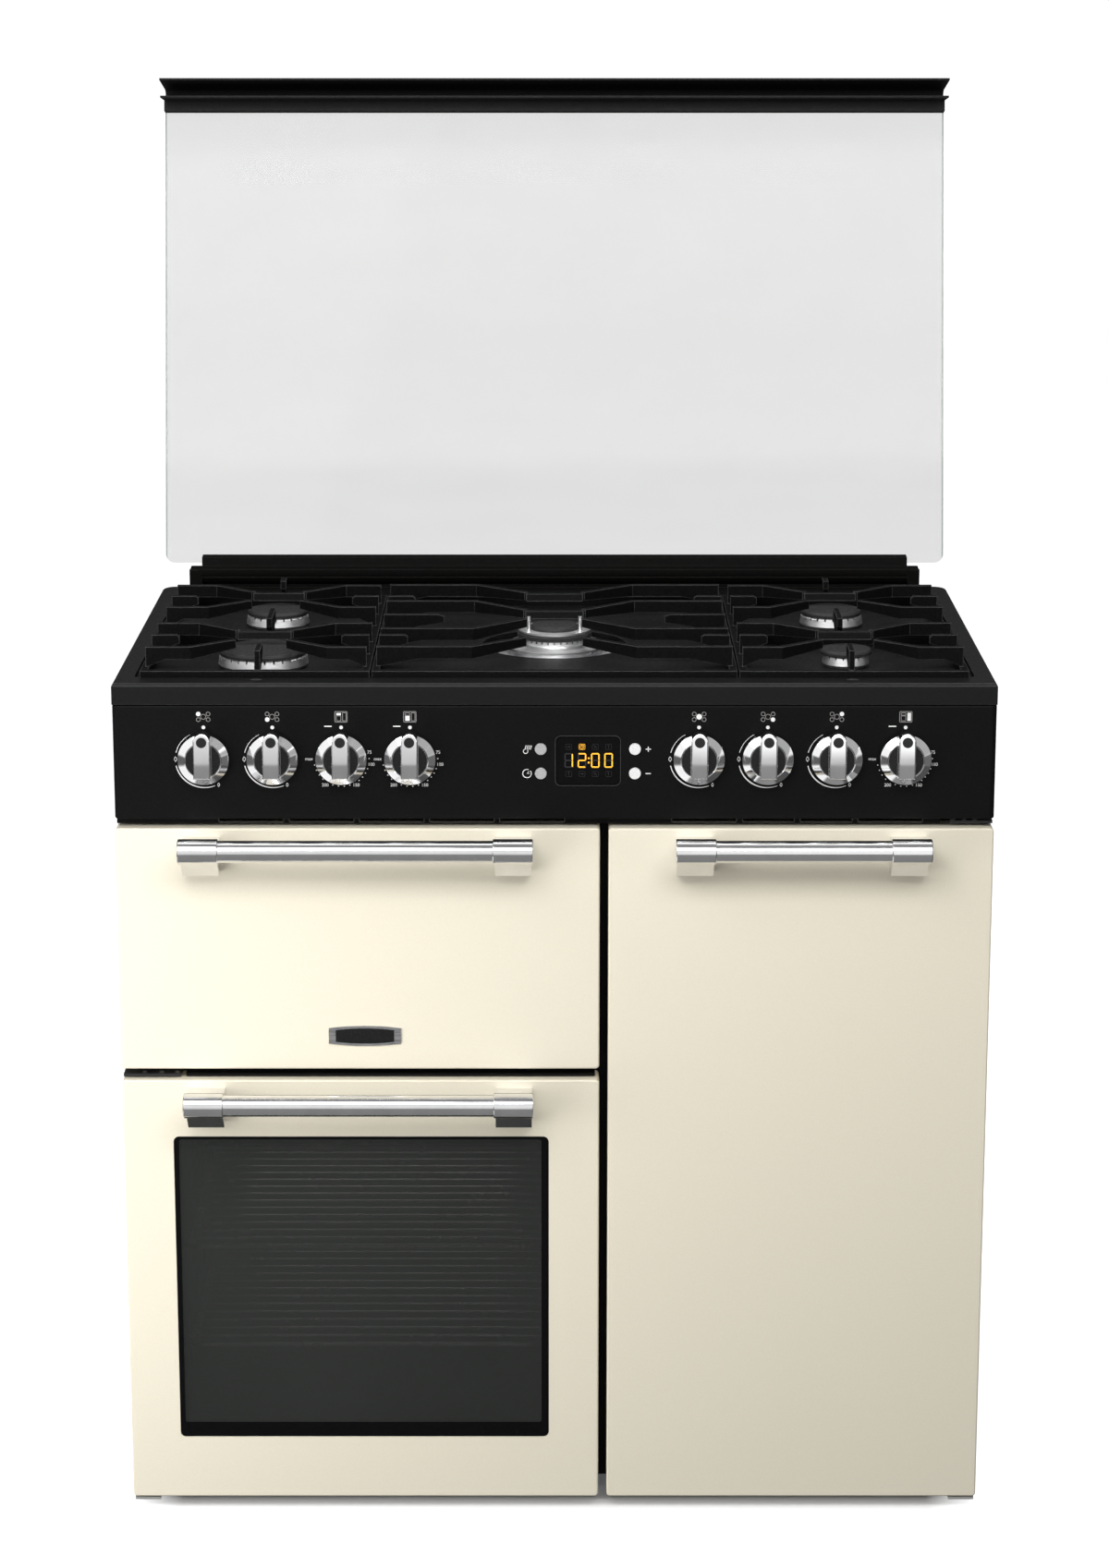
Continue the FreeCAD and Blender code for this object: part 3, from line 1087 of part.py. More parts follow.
pins = [(q.wokPostX * u, q.wokPostY * v, q.wokPost) for u in (-1, 1) for v in (-1, 1)]
posts = rings(wok, "XY_Plane", pins, q.wokUpperHigh)
pad(wok, posts, q.wokPostHigh - q.wokUpperHigh)
place(wok, 0, wokY, wokLevel)
node("wok_burner", wok)


def sparkPlug(x, y, radius, z):
    a = math.radians(q.plugAngle.value)
    px = x + (radius + q.plugOff) * math.cos(a)
    py = y + (radius + q.plugOff) * math.sin(a)
    stem = rod(q.plugRadius, q.plugHeight, px, py, z)
    tip = rod(q.plugTip, q.plugTipHigh, px, py, z + q.plugHeight)
    return fuse(stem, tip)


plugs = [sparkPlug(x, y, r, wellFloor) for x, y, r, c, n in burners]
plugs.append(sparkPlug(size(0), wokY, q.wokFlange - q.plugOff + q.plugRadius * 2, wokLevel + q.wokPlateThick))
node("ignition_electrodes", group(*plugs))


# Cast pan supports. A finger is a thin web that stands on the frame bar, with its underside relieved to a
# free tip.
def web(start, end, heights):
    p, e = FreeCAD.Vector(*start, 0), FreeCAD.Vector(*end, 0)
    step = (e - p).normalize()
    across = FreeCAD.Vector(-step.y, step.x, 0) * q.fingerThick.value
    span = (FreeCAD.Vector(*end, 0) - p).Length
    rim = [p + step * (span * f) + FreeCAD.Vector(0, 0, z) - across / 2 for f, z in heights]
    return Part.Face(Part.makePolygon(rim + [rim[0]])).extrude(across)


def knuckle(point, low):
    at = FreeCAD.Vector(point[0], point[1], low)
    return Part.makeCylinder(q.fingerThick.value / 2, q.gridTop.value - low, at)


def bar(start, end):
    p, e = FreeCAD.Vector(*start, q.gridBarLow.value), FreeCAD.Vector(*end, q.gridBarLow.value)
    step = (e - p).normalize()
    across = FreeCAD.Vector(-step.y, step.x, 0) * q.gridBar.value
    base = p - across / 2 - step * (q.gridBar.value / 2)
    length = (FreeCAD.Vector(*end, q.gridBarLow.value) - p).Length + q.gridBar.value
    rim = [base, base + step * length, base + step * length + across, base + across]
    rise = FreeCAD.Vector(0, 0, q.gridBarHigh.value - q.gridBarLow.value)
    return Part.Face(Part.makePolygon(rim + [base])).extrude(rise)


top = q.gridTop.value
barHigh = q.gridBarHigh.value - 1
relief = top - q.fingerDeep.value
tipLow = top - q.fingerTip.value


# A finger from a side bar: straight over its root, then bent toward the burner.
def bentFinger(root, elbow, tip):
    straight = [(0, barHigh), (0, top), (1, top), (1, relief), (q.rootShare.value, relief)]
    slanted = [(0, relief), (0, top), (1, top), (1, tipLow)]
    return [web(root, elbow, straight), web(elbow, tip, slanted), knuckle(elbow, relief)]


def stub(root, tip):
    nose = q.noseShare.value
    drop = q.noseDrop.value
    return [web(root, tip, [(0, barHigh), (0, top), (nose, top), (1, top - drop), (1, tipLow),
                            (q.stubShare.value, relief)])]


def post(root, tip):
    return [web(root, tip, [(0, barHigh), (0, top), (1, top), (1, tipLow), (q.postShare.value, barHigh)])]


# A bridge joins two tips behind a burner; its front face slopes down toward the flame.
def bridge(left, right, y):
    half = q.fingerThick.value / 2
    level = top - q.bridgeSink.value
    steps = ((half, tipLow), (half, level), (-half, level), (-half - q.bridgeFoot.value, tipLow))
    rim = [FreeCAD.Vector(left, y + d, z) for d, z in steps]
    return [Part.Face(Part.makePolygon(rim + rim[:1])).extrude(FreeCAD.Vector(right - left, 0, 0))]


def fused(parts):
    return parts[0].multiFuse(parts[1:]).removeSplitter()


def frameBars(left, right):
    y0, y1 = back(q.gridFront).value, back(q.gridBack).value
    cross = back(q.gridCross).value
    return [bar((left, y0), (right, y0)), bar((left, y1), (right, y1)), bar((left, y0), (left, y1)),
            bar((right, y0), (right, y1)), bar((left, cross), (right, cross))]


def feet(left, right):
    r = q.gridBar.value / 2
    low = wellFloor.value
    return [Part.makeCylinder(r, q.gridBarLow.value - low + 1, FreeCAD.Vector(x, back(y).value, low))
            for x in (left, right) for y in (q.gridFront, q.gridBack)]


def sideGrid(label, sign):
    half = q.gridBar.value / 2
    outer, inner = sign * (q.sideGridOuter.value - half), sign * (q.sideGridInner.value + half)
    x = sign * q.burnerX.value
    parts = frameBars(min(outer, inner), max(outer, inner)) + feet(outer, inner)
    for y in (back(q.burnerFront).value, back(q.burnerRear).value):
        rows = ((y - q.rowSpread.value, y - q.tipFront.value), (y + q.rowSpread.value, y + q.tipRear.value))
        for edge in (outer, inner):
            way = 1 if edge > x else -1
            for row, tip in rows:
                parts += bentFinger((edge, row), (x + way * q.rowElbow.value, row),
                                    (x + way * q.tipSpread.value, tip))
            parts += stub((edge, y), (edge - way * q.stubReach.value, y))
        parts += bridge(x - q.tipSpread.value, x + q.tipSpread.value, rows[1][1])
    clear = q.yFingerClear.value
    y0, y1, mid = back(q.gridFront).value, back(q.gridBack).value, back(q.gridCross).value
    parts += post((x, y0), (x, y0 + clear)) + post((x, y1), (x, y1 - clear / 2))
    parts += post((x, mid), (x, mid + clear)) + post((x, mid), (x, mid - clear / 2))
    grid = doc.addObject("Part::Feature", label)
    grid.Shape = fused(parts)
    node(label, grid)


def centreGrid(label):
    half = q.gridBar.value / 2
    edge = q.midGridHalf.value - half
    y0 = back(q.wokBack).value
    parts = frameBars(-edge, edge)[:4] + feet(-edge, edge)
    rows = [(-q.midRowFar.value, -q.midTipFar.value), (-q.midRowNear.value, -q.midTipNear.value),
            (q.midRowNear.value, q.midTipNear.value), (q.midRowFar.value, q.midTipFar.value)]
    for sign in (-1, 1):
        for row, tip in rows:
            parts += bentFinger((sign * edge, y0 + row), (sign * q.midElbow.value, y0 + row),
                                (sign * q.midTip.value, y0 + tip))
        parts += stub((sign * edge, y0), (sign * (edge - q.midStub.value), y0))
        for y in (back(q.burnerFront).value, back(q.burnerRear).value):
            parts += stub((sign * edge, y), (sign * (edge - q.midShortStub.value), y))
    for row, tip in rows[2:]:
        parts += bridge(-q.midTip.value, q.midTip.value, y0 + tip)
    grid = doc.addObject("Part::Feature", label)
    grid.Shape = fused(parts)
    node(label, grid)


sideGrid("pan_support_left", -1)
centreGrid("pan_support_center")
sideGrid("pan_support_right", 1)

# Lid: toughened glass in a hinge rail, with a folded trim along its front edge. Drawn upright on the hinge
# axis, then leant back.
lean = FreeCAD.Rotation(FreeCAD.Vector(1, 0, 0), -q.lidLean.value)
axisY = back(q.lidAxisBack)
lidTop = q.lidFoot + q.lidLength
near0 = q.lidOffset
glass = newBody("lid_glass")
item = pad(glass, outline(glass, "XZ_Plane", rectangle((-q.lidWidth / 2, q.lidWidth / 2), (q.lidFoot,
                                                                                           lidTop)), -near0),
                                                                                           q.lidThick, True)
ease(glass, item, q.lidCorner, lambda e: runs("y")(e) and abs(e.CenterOfMass.z - q.lidFoot.value) < 1e-4)
node("lid_glass", place(glass, 0, axisY, q.lidAxisZ, lean))

hingeRail = newBody("lid_hinge_rail")
roll = q.railRoll
groove = q.railGroove
lips = [q.railGrooveAt - groove, q.railGrooveAt + groove]
reaches = [squareRoot(roll * roll - lip * lip) for lip in lips]
pad(hingeRail, outline(hingeRail, "YZ_Plane", [
    (-q.railFront, q.lidPin), (-roll, 0), (-reaches[0], -lips[0], roll),
    (groove - reaches[1], -q.railGrooveAt),
    (-reaches[1], -lips[1]), (0, -roll, roll), (near0, 0, roll + q.lidPin), (near0, q.railHigh),
    (q.lidPin, q.railHigh), (-q.railFront, q.railHigh - q.lidPin)], -q.railHalf), q.railHalf * 2)
for x, flip in ((q.railHalf, False), (-q.railHalf, True)):
    pad(hingeRail, rings(hingeRail, "YZ_Plane", [(0, 0, q.lidPin)], x), q.lidPinLength, flip)
node("lid_hinge_rail", place(hingeRail, 0, axisY, q.lidAxisZ, lean))

beam = box((-q.cheekHalf, q.cheekHalf), (back(q.hingeBaseFront), back(q.hobBack)), (q.hobTop, q.hingeBaseTop))
cheek = box((q.railHalf + q.cheekGap, q.cheekHalf), (back(q.hingeBaseFront), back(q.cheekBack)),
            (q.hobTop, q.cheekTop))
eyes = rod(q.lidPin + q.runFit, q.cheekHalf * 2 + q.skin, -q.cheekHalf - q.skin / 2, axisY, q.lidAxisZ,
           alongX)
node("lid_hinge_base", cut(fuse(beam, cheek, mirrored(cheek, (1, 0, 0))), eyes))

trim = newBody("lid_front_trim")
inner0 = near0 - q.trimFit
outer0 = near0 + q.lidThick + q.trimFit
tw = q.trimWall
root = lidTop + q.trimAbove
crest = root + q.trimCrest
front0 = near0 - q.trimBody
ledgeY = near0 - q.trimLedge
tipY = near0 - q.trimFlange
bend = q.trimBend
hollow = q.trimHollow
pad(trim, outline(trim, "YZ_Plane", [
    (outer0, lidTop - q.trimBack), (outer0 + tw, lidTop - q.trimBack), (outer0 + tw, crest - bend),
    (outer0 + tw - bend, crest, bend), (tipY, crest), (tipY, crest - tw), (outer0 - hollow, crest - tw),
    (outer0, crest - tw - hollow, -hollow), (outer0, root + tw), (ledgeY, root + tw - q.trimDroop),
    (ledgeY, root - q.trimDroop), (front0, root), (front0, lidTop - q.trimGrip),
    (inner0, lidTop - q.trimGrip),
    (inner0, lidTop + q.trimFit), (outer0, lidTop + q.trimFit)], -q.lidWidth / 2), q.lidWidth)
node("lid_front_trim", place(trim, 0, axisY, q.lidAxisZ, lean))

doc.recompute()
faulty = [o.Name for o in doc.Objects if {"Invalid", "Error"} & set(o.State)]
faulty += [o.Label for o in nodes if o.Shape.isNull() or not o.Shape.isValid()]
if faulty:
    raise RuntimeError("not built: %s" % ", ".join(faulty))
os.makedirs("parts", exist_ok=True)
for item in nodes:
    item.Shape.exportStep("parts/%s.step" % item.Label)
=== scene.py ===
import math

import bmesh
import bpy
import numpy as np
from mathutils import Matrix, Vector


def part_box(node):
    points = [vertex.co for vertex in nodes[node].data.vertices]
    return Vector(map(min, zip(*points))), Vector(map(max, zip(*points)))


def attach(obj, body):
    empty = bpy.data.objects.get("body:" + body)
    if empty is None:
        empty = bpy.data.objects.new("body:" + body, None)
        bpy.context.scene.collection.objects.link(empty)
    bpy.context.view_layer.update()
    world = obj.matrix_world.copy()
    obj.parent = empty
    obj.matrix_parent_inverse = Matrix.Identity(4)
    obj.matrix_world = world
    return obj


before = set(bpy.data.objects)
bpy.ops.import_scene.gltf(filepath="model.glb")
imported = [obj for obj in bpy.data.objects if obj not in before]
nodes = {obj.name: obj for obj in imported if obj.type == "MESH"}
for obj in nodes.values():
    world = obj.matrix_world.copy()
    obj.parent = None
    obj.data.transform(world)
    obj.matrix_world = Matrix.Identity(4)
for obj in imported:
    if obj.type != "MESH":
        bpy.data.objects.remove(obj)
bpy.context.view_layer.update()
frontY = -0.305   # plane of the doors and the control panel
print("frame loaded,", len(nodes), "nodes")


# Quads over a grid of rows by columns, numbered row after row; a wrapped side joins its last line to its first.
def quads(rows, cols, wrapRows=False, wrapCols=False):
    i, j = np.meshgrid(np.arange(rows - (not wrapRows)), np.arange(cols - (not wrapCols)), indexing="ij")
    below, beside = (i + 1) % rows, (j + 1) % cols
    corners = [i * cols + j, i * cols + beside, below * cols + beside, below * cols + j]
    return np.stack(corners, -1).reshape(-1, 4).tolist()


# Profile carried along a path: place = path + a * side + b * up for each profile point (a, b), capped at open
# ends.
def carried(path, side, up, profile, loop=False):
    places = path[:, None] + profile[..., :1] * side[:, None] + profile[..., 1:] * np.asarray(up, float)
    rows, cols = places.shape[:2]
    faces = quads(rows, cols, loop, True)
    if not loop:
        faces += [list(range(cols)), list(range((rows - 1) * cols, rows * cols))]
    return places.reshape(-1, 3), faces


aslant = (0.31, 0.52, 0.79)   # a direction that none of the axes takes


# Profile (r, h) turned round an axis: place = centre + h * axis + r * (cos t * e1 + sin t * e2).
def turned(profile, centre, axis, count):
    profile, axis = np.asarray(profile, float), np.asarray(axis, float)
    e1 = np.cross(axis, aslant)
    e1 /= np.linalg.norm(e1)
    e2 = np.cross(axis, e1)
    t = np.linspace(0, 2 * np.pi, count, endpoint=False)
    ring = np.cos(t)[:, None] * e1 + np.sin(t)[:, None] * e2
    places = np.asarray(centre) + profile[:, None, 1:] * axis + profile[:, None, :1] * ring[None]
    return places.reshape(-1, 3), quads(len(profile), count, False, True)


# Plate over a flat grid (x, z): its front lies out from the plane y by thick, and walls close its border.
def slab(flat, y, thick, loop=False):
    flat = np.asarray(flat, float)
    rows, cols = flat.shape[:2]
    count = rows * cols
    rear = np.stack([flat[..., 0], np.full((rows, cols), y), flat[..., 1]], -1).reshape(-1, 3)
    front = rear - [0, thick, 0]
    number = np.arange(count).reshape(rows, cols)
    faces = np.array(quads(rows, cols, False, loop))
    if loop:
        rims = [number[0], number[-1][::-1]]
    else:
        rims = [np.concatenate([number[0, :-1], number[:-1, -1], number[-1, :0:-1], number[:0:-1, 0]])]
    walls = []
    for rim in rims:
        after = np.roll(rim, -1)
        walls.append(np.stack([rim, after, after + count, rim + count], -1))
    every = np.concatenate([faces[:, ::-1], faces + count] + walls)
    return np.concatenate([rear, front]), every.tolist()


# Rounded rectangle as a closed line of points: each corner is a quarter turn about its own centre.
def roundedLine(centre, width, height, corner, steps=6):
    t = np.linspace(0, np.pi / 2, steps)
    quarter = np.arange(4)[:, None] * np.pi / 2 + t
    signs = np.array([[1, 1], [-1, 1], [-1, -1], [1, -1]])
    middle = np.asarray(centre) + signs * [width / 2 - corner, height / 2 - corner]
    return (middle[:, None] + corner * np.stack([np.cos(quarter), np.sin(quarter)], -1)).reshape(-1, 2)


# Arc of a circle as a line of points: place = centre + radius * (cos t, sin t), t in degrees from the right.
def arcLine(centre, radius, start, end, steps=24):
    t = np.radians(np.linspace(start, end, steps))
    return np.asarray(centre) + radius * np.stack([np.cos(t), np.sin(t)], -1)


# A printed stroke on the panel: a low rectangle carried along a line (x, z), as wide as width says at each
# point.
def stroke(line, width, y, thick, loop=False):
    line = np.asarray(line, float)
    if loop:
        along = np.roll(line, -1, 0) - np.roll(line, 1, 0)
    else:
        along = np.gradient(line, axis=0)
    along /= np.linalg.norm(along, axis=1)[:, None]
    side = np.stack([-along[:, 1], np.zeros(len(line)), along[:, 0]], -1)
    path = np.stack([line[:, 0], np.full(len(line), y), line[:, 1]], -1)
    half = np.broadcast_to(np.asarray(width, float) / 2, len(line))[:, None]
    profile = np.stack([half * [-1, 1, 1, -1], np.broadcast_to([0, 0, thick, thick], (len(line), 4))], -1)
    return carried(path, side, [0, -1, 0], profile, loop)


# A printed dot: a low disc, turned round the panel's normal, from the plane y out to thick.
def dot(centre, radius, y, thick, count=20):
    profile = [(0, 0), (radius, 0), (radius, thick), (0, thick)]
    return turned(profile, (centre[0], y, centre[1]), (0, -1, 0), count)


letterLook = {"capShare": 0.72, "curveSteps": 3}


# Lettering as a thin solid, its size the wanted height over a capital's share of it. It is made a mesh that
# lies in XY and then stood up on the panel with its middle at centre: x and y become x and z, and z becomes
# depth.
def lettering(text, height, centre, y, thick):
    curve = bpy.data.curves.new("lettering", "FONT")
    curve.body, curve.size, curve.extrude = text, height / letterLook["capShare"], thick / 2
    curve.align_x, curve.align_y, curve.resolution_u = "CENTER", "CENTER", letterLook["curveSteps"]
    writing = bpy.data.objects.new("lettering", curve)
    bpy.context.scene.collection.objects.link(writing)
    mesh = bpy.data.meshes.new_from_object(writing.evaluated_get(bpy.context.evaluated_depsgraph_get()))
    co = np.zeros(len(mesh.vertices) * 3)
    mesh.vertices.foreach_get("co", co)
    co = co.reshape(-1, 3)
    faces = [list(p.vertices) for p in mesh.polygons]
    bpy.data.objects.remove(writing)
    bpy.data.meshes.remove(mesh)
    return np.stack([co[:, 0] + centre[0], y - thick / 2 - co[:, 2], co[:, 1] + centre[1]], -1), faces


meshLook = {"merge": 1e-7, "thin": 1e-8, "smooth": 35}


# One object from its sheets, that rides on a body and takes a finish. A corner's number is its number in its
# sheet plus the points before that sheet; poles are merged, faces turned outward, and edges sharper than
# smooth degrees kept.
def makePiece(name, sheets, finish, body):
    places, faces, before = [], [], 0
    for sheetPlaces, sheetFaces in sheets:
        places.append(sheetPlaces)
        faces += [[int(corner + before) for corner in face] for face in sheetFaces]
        before += len(sheetPlaces)
    mesh = bpy.data.meshes.new(name)
    mesh.from_pydata(np.concatenate(places).tolist(), [], faces)
    shape = bmesh.new()
    shape.from_mesh(mesh)
    bmesh.ops.remove_doubles(shape, verts=shape.verts, dist=meshLook["merge"])
    bmesh.ops.dissolve_degenerate(shape, edges=shape.edges, dist=meshLook["thin"])
    bmesh.ops.recalc_face_normals(shape, faces=shape.faces)
    shape.to_mesh(mesh)
    shape.free()
    mesh.polygons.foreach_set("use_smooth", np.ones(len(mesh.polygons), bool))
    mesh.set_sharp_from_angle(angle=math.radians(meshLook["smooth"]))
    mesh.materials.append(finish)
    made = bpy.data.objects.new(name, mesh)
    bpy.context.scene.collection.objects.link(made)
    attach(made, body)


# Finishes. light and dark are mixed by a noise of so many patches a metre, stretched where brushed; rough runs
# between two values on a finer noise; pits gives the bump's grain a metre and its depth in metres; edge rounds
# sharp edges, and worn is a painted highlight: a lighter colour laid along them where edges catch light.
finishes = {
    "creamEnamel": {"light": (0.90, 0.840, 0.688), "dark": (0.875, 0.815, 0.662), "patch": 900,
                    "rough": (0.34, 0.44), "pits": (420, 0.000012), "spec": 0.3, "coat": 0.1},
    "panelBlack": {"light": (0.0068, 0.0068, 0.0070), "dark": (0.0050, 0.0050, 0.0052), "patch": 420,
                   "rough": (0.30, 0.38), "pits": (900, 0.00001), "spec": 0.07},
    # hobBlack, railBlack, castIron and capEnamel turn lighter along their sharp edges: a painted highlight.
    "hobBlack": {"light": (0.0068, 0.0068, 0.0068), "dark": (0.0044, 0.0044, 0.0046), "patch": 650,
                 "rough": (0.32, 0.42), "pits": (700, 0.00002), "spec": 0.2, "edge": 0.0014,
                 "worn": (0.065, 0.065, 0.065)},
    "trimBlack": {"light": (0.0160, 0.0160, 0.0160), "dark": (0.0120, 0.0120, 0.0120), "patch": 500,
                  "rough": (0.45, 0.58), "pits": (800, 0.00003), "spec": 0.12},
    "railBlack": {"light": (0.0050, 0.0049, 0.0045), "dark": (0.0034, 0.0033, 0.0030), "patch": 500,
                  "rough": (0.50, 0.62), "pits": (800, 0.00003), "spec": 0.04, "edge": 0.0012,
                  "worn": (0.030, 0.029, 0.027)},
    "sheetBlack": {"light": (0.018, 0.018, 0.019), "dark": (0.013, 0.013, 0.014), "patch": 260,
                   "rough": (0.42, 0.55), "pits": (650, 0.00006), "spec": 0.4},
    "castIron": {"light": (0.0056, 0.0056, 0.0056), "dark": (0.0030, 0.0030, 0.0032), "patch": 380,
                 "rough": (0.50, 0.64), "pits": (950, 0.00006), "spec": 0.05, "edge": 0.0016,
                 "worn": (0.130, 0.130, 0.130)},
    "capEnamel": {"light": (0.035, 0.035, 0.035), "dark": (0.024, 0.024, 0.0245), "patch": 700,
                  "rough": (0.36, 0.50), "pits": (900, 0.00003), "spec": 0.2, "edge": 0.0012,
                  "worn": (0.11, 0.11, 0.11)},
    "displayBlack": {"light": (0.0050, 0.0050, 0.0054), "dark": (0.0036, 0.0036, 0.0040), "patch": 300,
                     "rough": (0.20, 0.28), "pits": (1400, 0.000004), "spec": 0.06},
    "chromePlate": {"light": (0.93, 0.93, 0.935), "dark": (0.89, 0.89, 0.90), "patch": 60,
                    "rough": (0.05, 0.09), "pits": (60, 0.000003), "metal": 1.0},
    "handleSteel": {"light": (0.79, 0.79, 0.795), "dark": (0.75, 0.75, 0.755), "patch": 60,
                    "rough": (0.11, 0.16), "pits": (60, 0.0000006), "metal": 1.0},
    "brushedSteel": {"light": (0.60, 0.60, 0.61), "dark": (0.42, 0.42, 0.43), "patch": 90,
                     "stretch": (1, 1, 14), "rough": (0.22, 0.36), "pits": (700, 0.00001), "metal": 1.0},
    "burnerAluminium": {"light": (0.95, 0.95, 0.95), "dark": (0.84, 0.84, 0.85), "patch": 120,
                        "stretch": (1, 1, 9), "rough": (0.34, 0.46), "pits": (1100, 0.000006), "metal": 1.0},
    "wireChrome": {"light": (0.74, 0.73, 0.70), "dark": (0.55, 0.54, 0.51), "patch": 160, "rough": (0.16, 0.30),
                   "pits": (900, 0.00001), "metal": 1.0},
    "brassBody": {"light": (0.72, 0.52, 0.22), "dark": (0.50, 0.34, 0.13), "patch": 130, "rough": (0.25, 0.42),
                  "pits": (600, 0.00003), "metal": 1.0},
    "blackPlastic": {"light": (0.0085, 0.0085, 0.009), "dark": (0.006, 0.006, 0.0065), "patch": 300,
                     "rough": (0.22, 0.32), "pits": (1400, 0.00001), "spec": 0.35},
    "greyButton": {"light": (0.47, 0.47, 0.47), "dark": (0.40, 0.40, 0.40), "patch": 500, "rough": (0.36, 0.48),
                   "pits": (1500, 0.00001), "spec": 0.4},
    "whiteButton": {"light": (0.88, 0.88, 0.88), "dark": (0.80, 0.80, 0.80), "patch": 500,
                    "rough": (0.34, 0.46), "pits": (1500, 0.00001), "spec": 0.4},
    "sealRubber": {"light": (0.022, 0.022, 0.022), "dark": (0.012, 0.012, 0.012), "patch": 300,
                   "rough": (0.65, 0.85), "pits": (700, 0.00008), "spec": 0.3},
    "glazedCeramic": {"light": (0.84, 0.81, 0.75), "dark": (0.72, 0.68, 0.61), "patch": 400,
                      "rough": (0.2, 0.35), "pits": (900, 0.00002), "spec": 0.5},
    # The white print glows a little though it is no lamp: painted light that brightens it.
    "printWhite": {"light": (0.82, 0.82, 0.81), "dark": (0.70, 0.70, 0.69), "patch": 1500, "rough": (0.5, 0.62),
                   "pits": (2500, 0.000004), "spec": 0.3, "glow": 0.12},
    "printGrey": {"light": (0.36, 0.35, 0.34), "dark": (0.28, 0.27, 0.26), "patch": 1500, "rough": (0.5, 0.62),
                  "pits": (2500, 0.000004), "spec": 0.3},
    "unlitGrey": {"light": (0.030, 0.030, 0.033), "dark": (0.022, 0.022, 0.025), "patch": 1200,
                  "rough": (0.4, 0.5), "pits": (2500, 0.000004), "spec": 0.2},
    "amberLight": {"light": (0.95, 0.47, 0.05), "dark": (0.88, 0.40, 0.035), "patch": 900, "rough": (0.4, 0.5),
                   "pits": (2500, 0.000004), "spec": 0.2, "glow": 0.75},
    # A lighter grey for the vent slots' rolled edges: a painted highlight.
    "ventEdgeHighlight": {"light": (0.16, 0.16, 0.16), "dark": (0.10, 0.10, 0.10), "patch": 900, "rough": (0.35, 0.5),
                   "pits": (1500, 0.00001), "spec": 0.4},
    # A lighter grey line round the clock's window: a painted highlight on the edge of its recess.
    "clockRimHighlight": {"light": (0.048, 0.048, 0.048), "dark": (0.034, 0.034, 0.034), "patch": 900,
                  "rough": (0.35, 0.5), "pits": (1500, 0.00001), "spec": 0.3},
    "screwZinc": {"light": (0.50, 0.50, 0.50), "dark": (0.34, 0.34, 0.35), "patch": 900, "rough": (0.28, 0.42),
                  "pits": (1500, 0.00002), "metal": 1.0},
}

# What all these finishes share: the noise's detail and the two values it is mixed between, the finer noise's
# patches as a share of the colour's, the pits' detail, and the match of rounded and flat normal over which an
# edge gets its painted highlight.
grainLook = {"detail": 4.0, "stops": (0.35, 0.65), "roughShare": 0.37, "roughDetail": 3.0, "pitDetail": 2.0,
             "paintEdgeHighlight": (0.80, 0.97)}


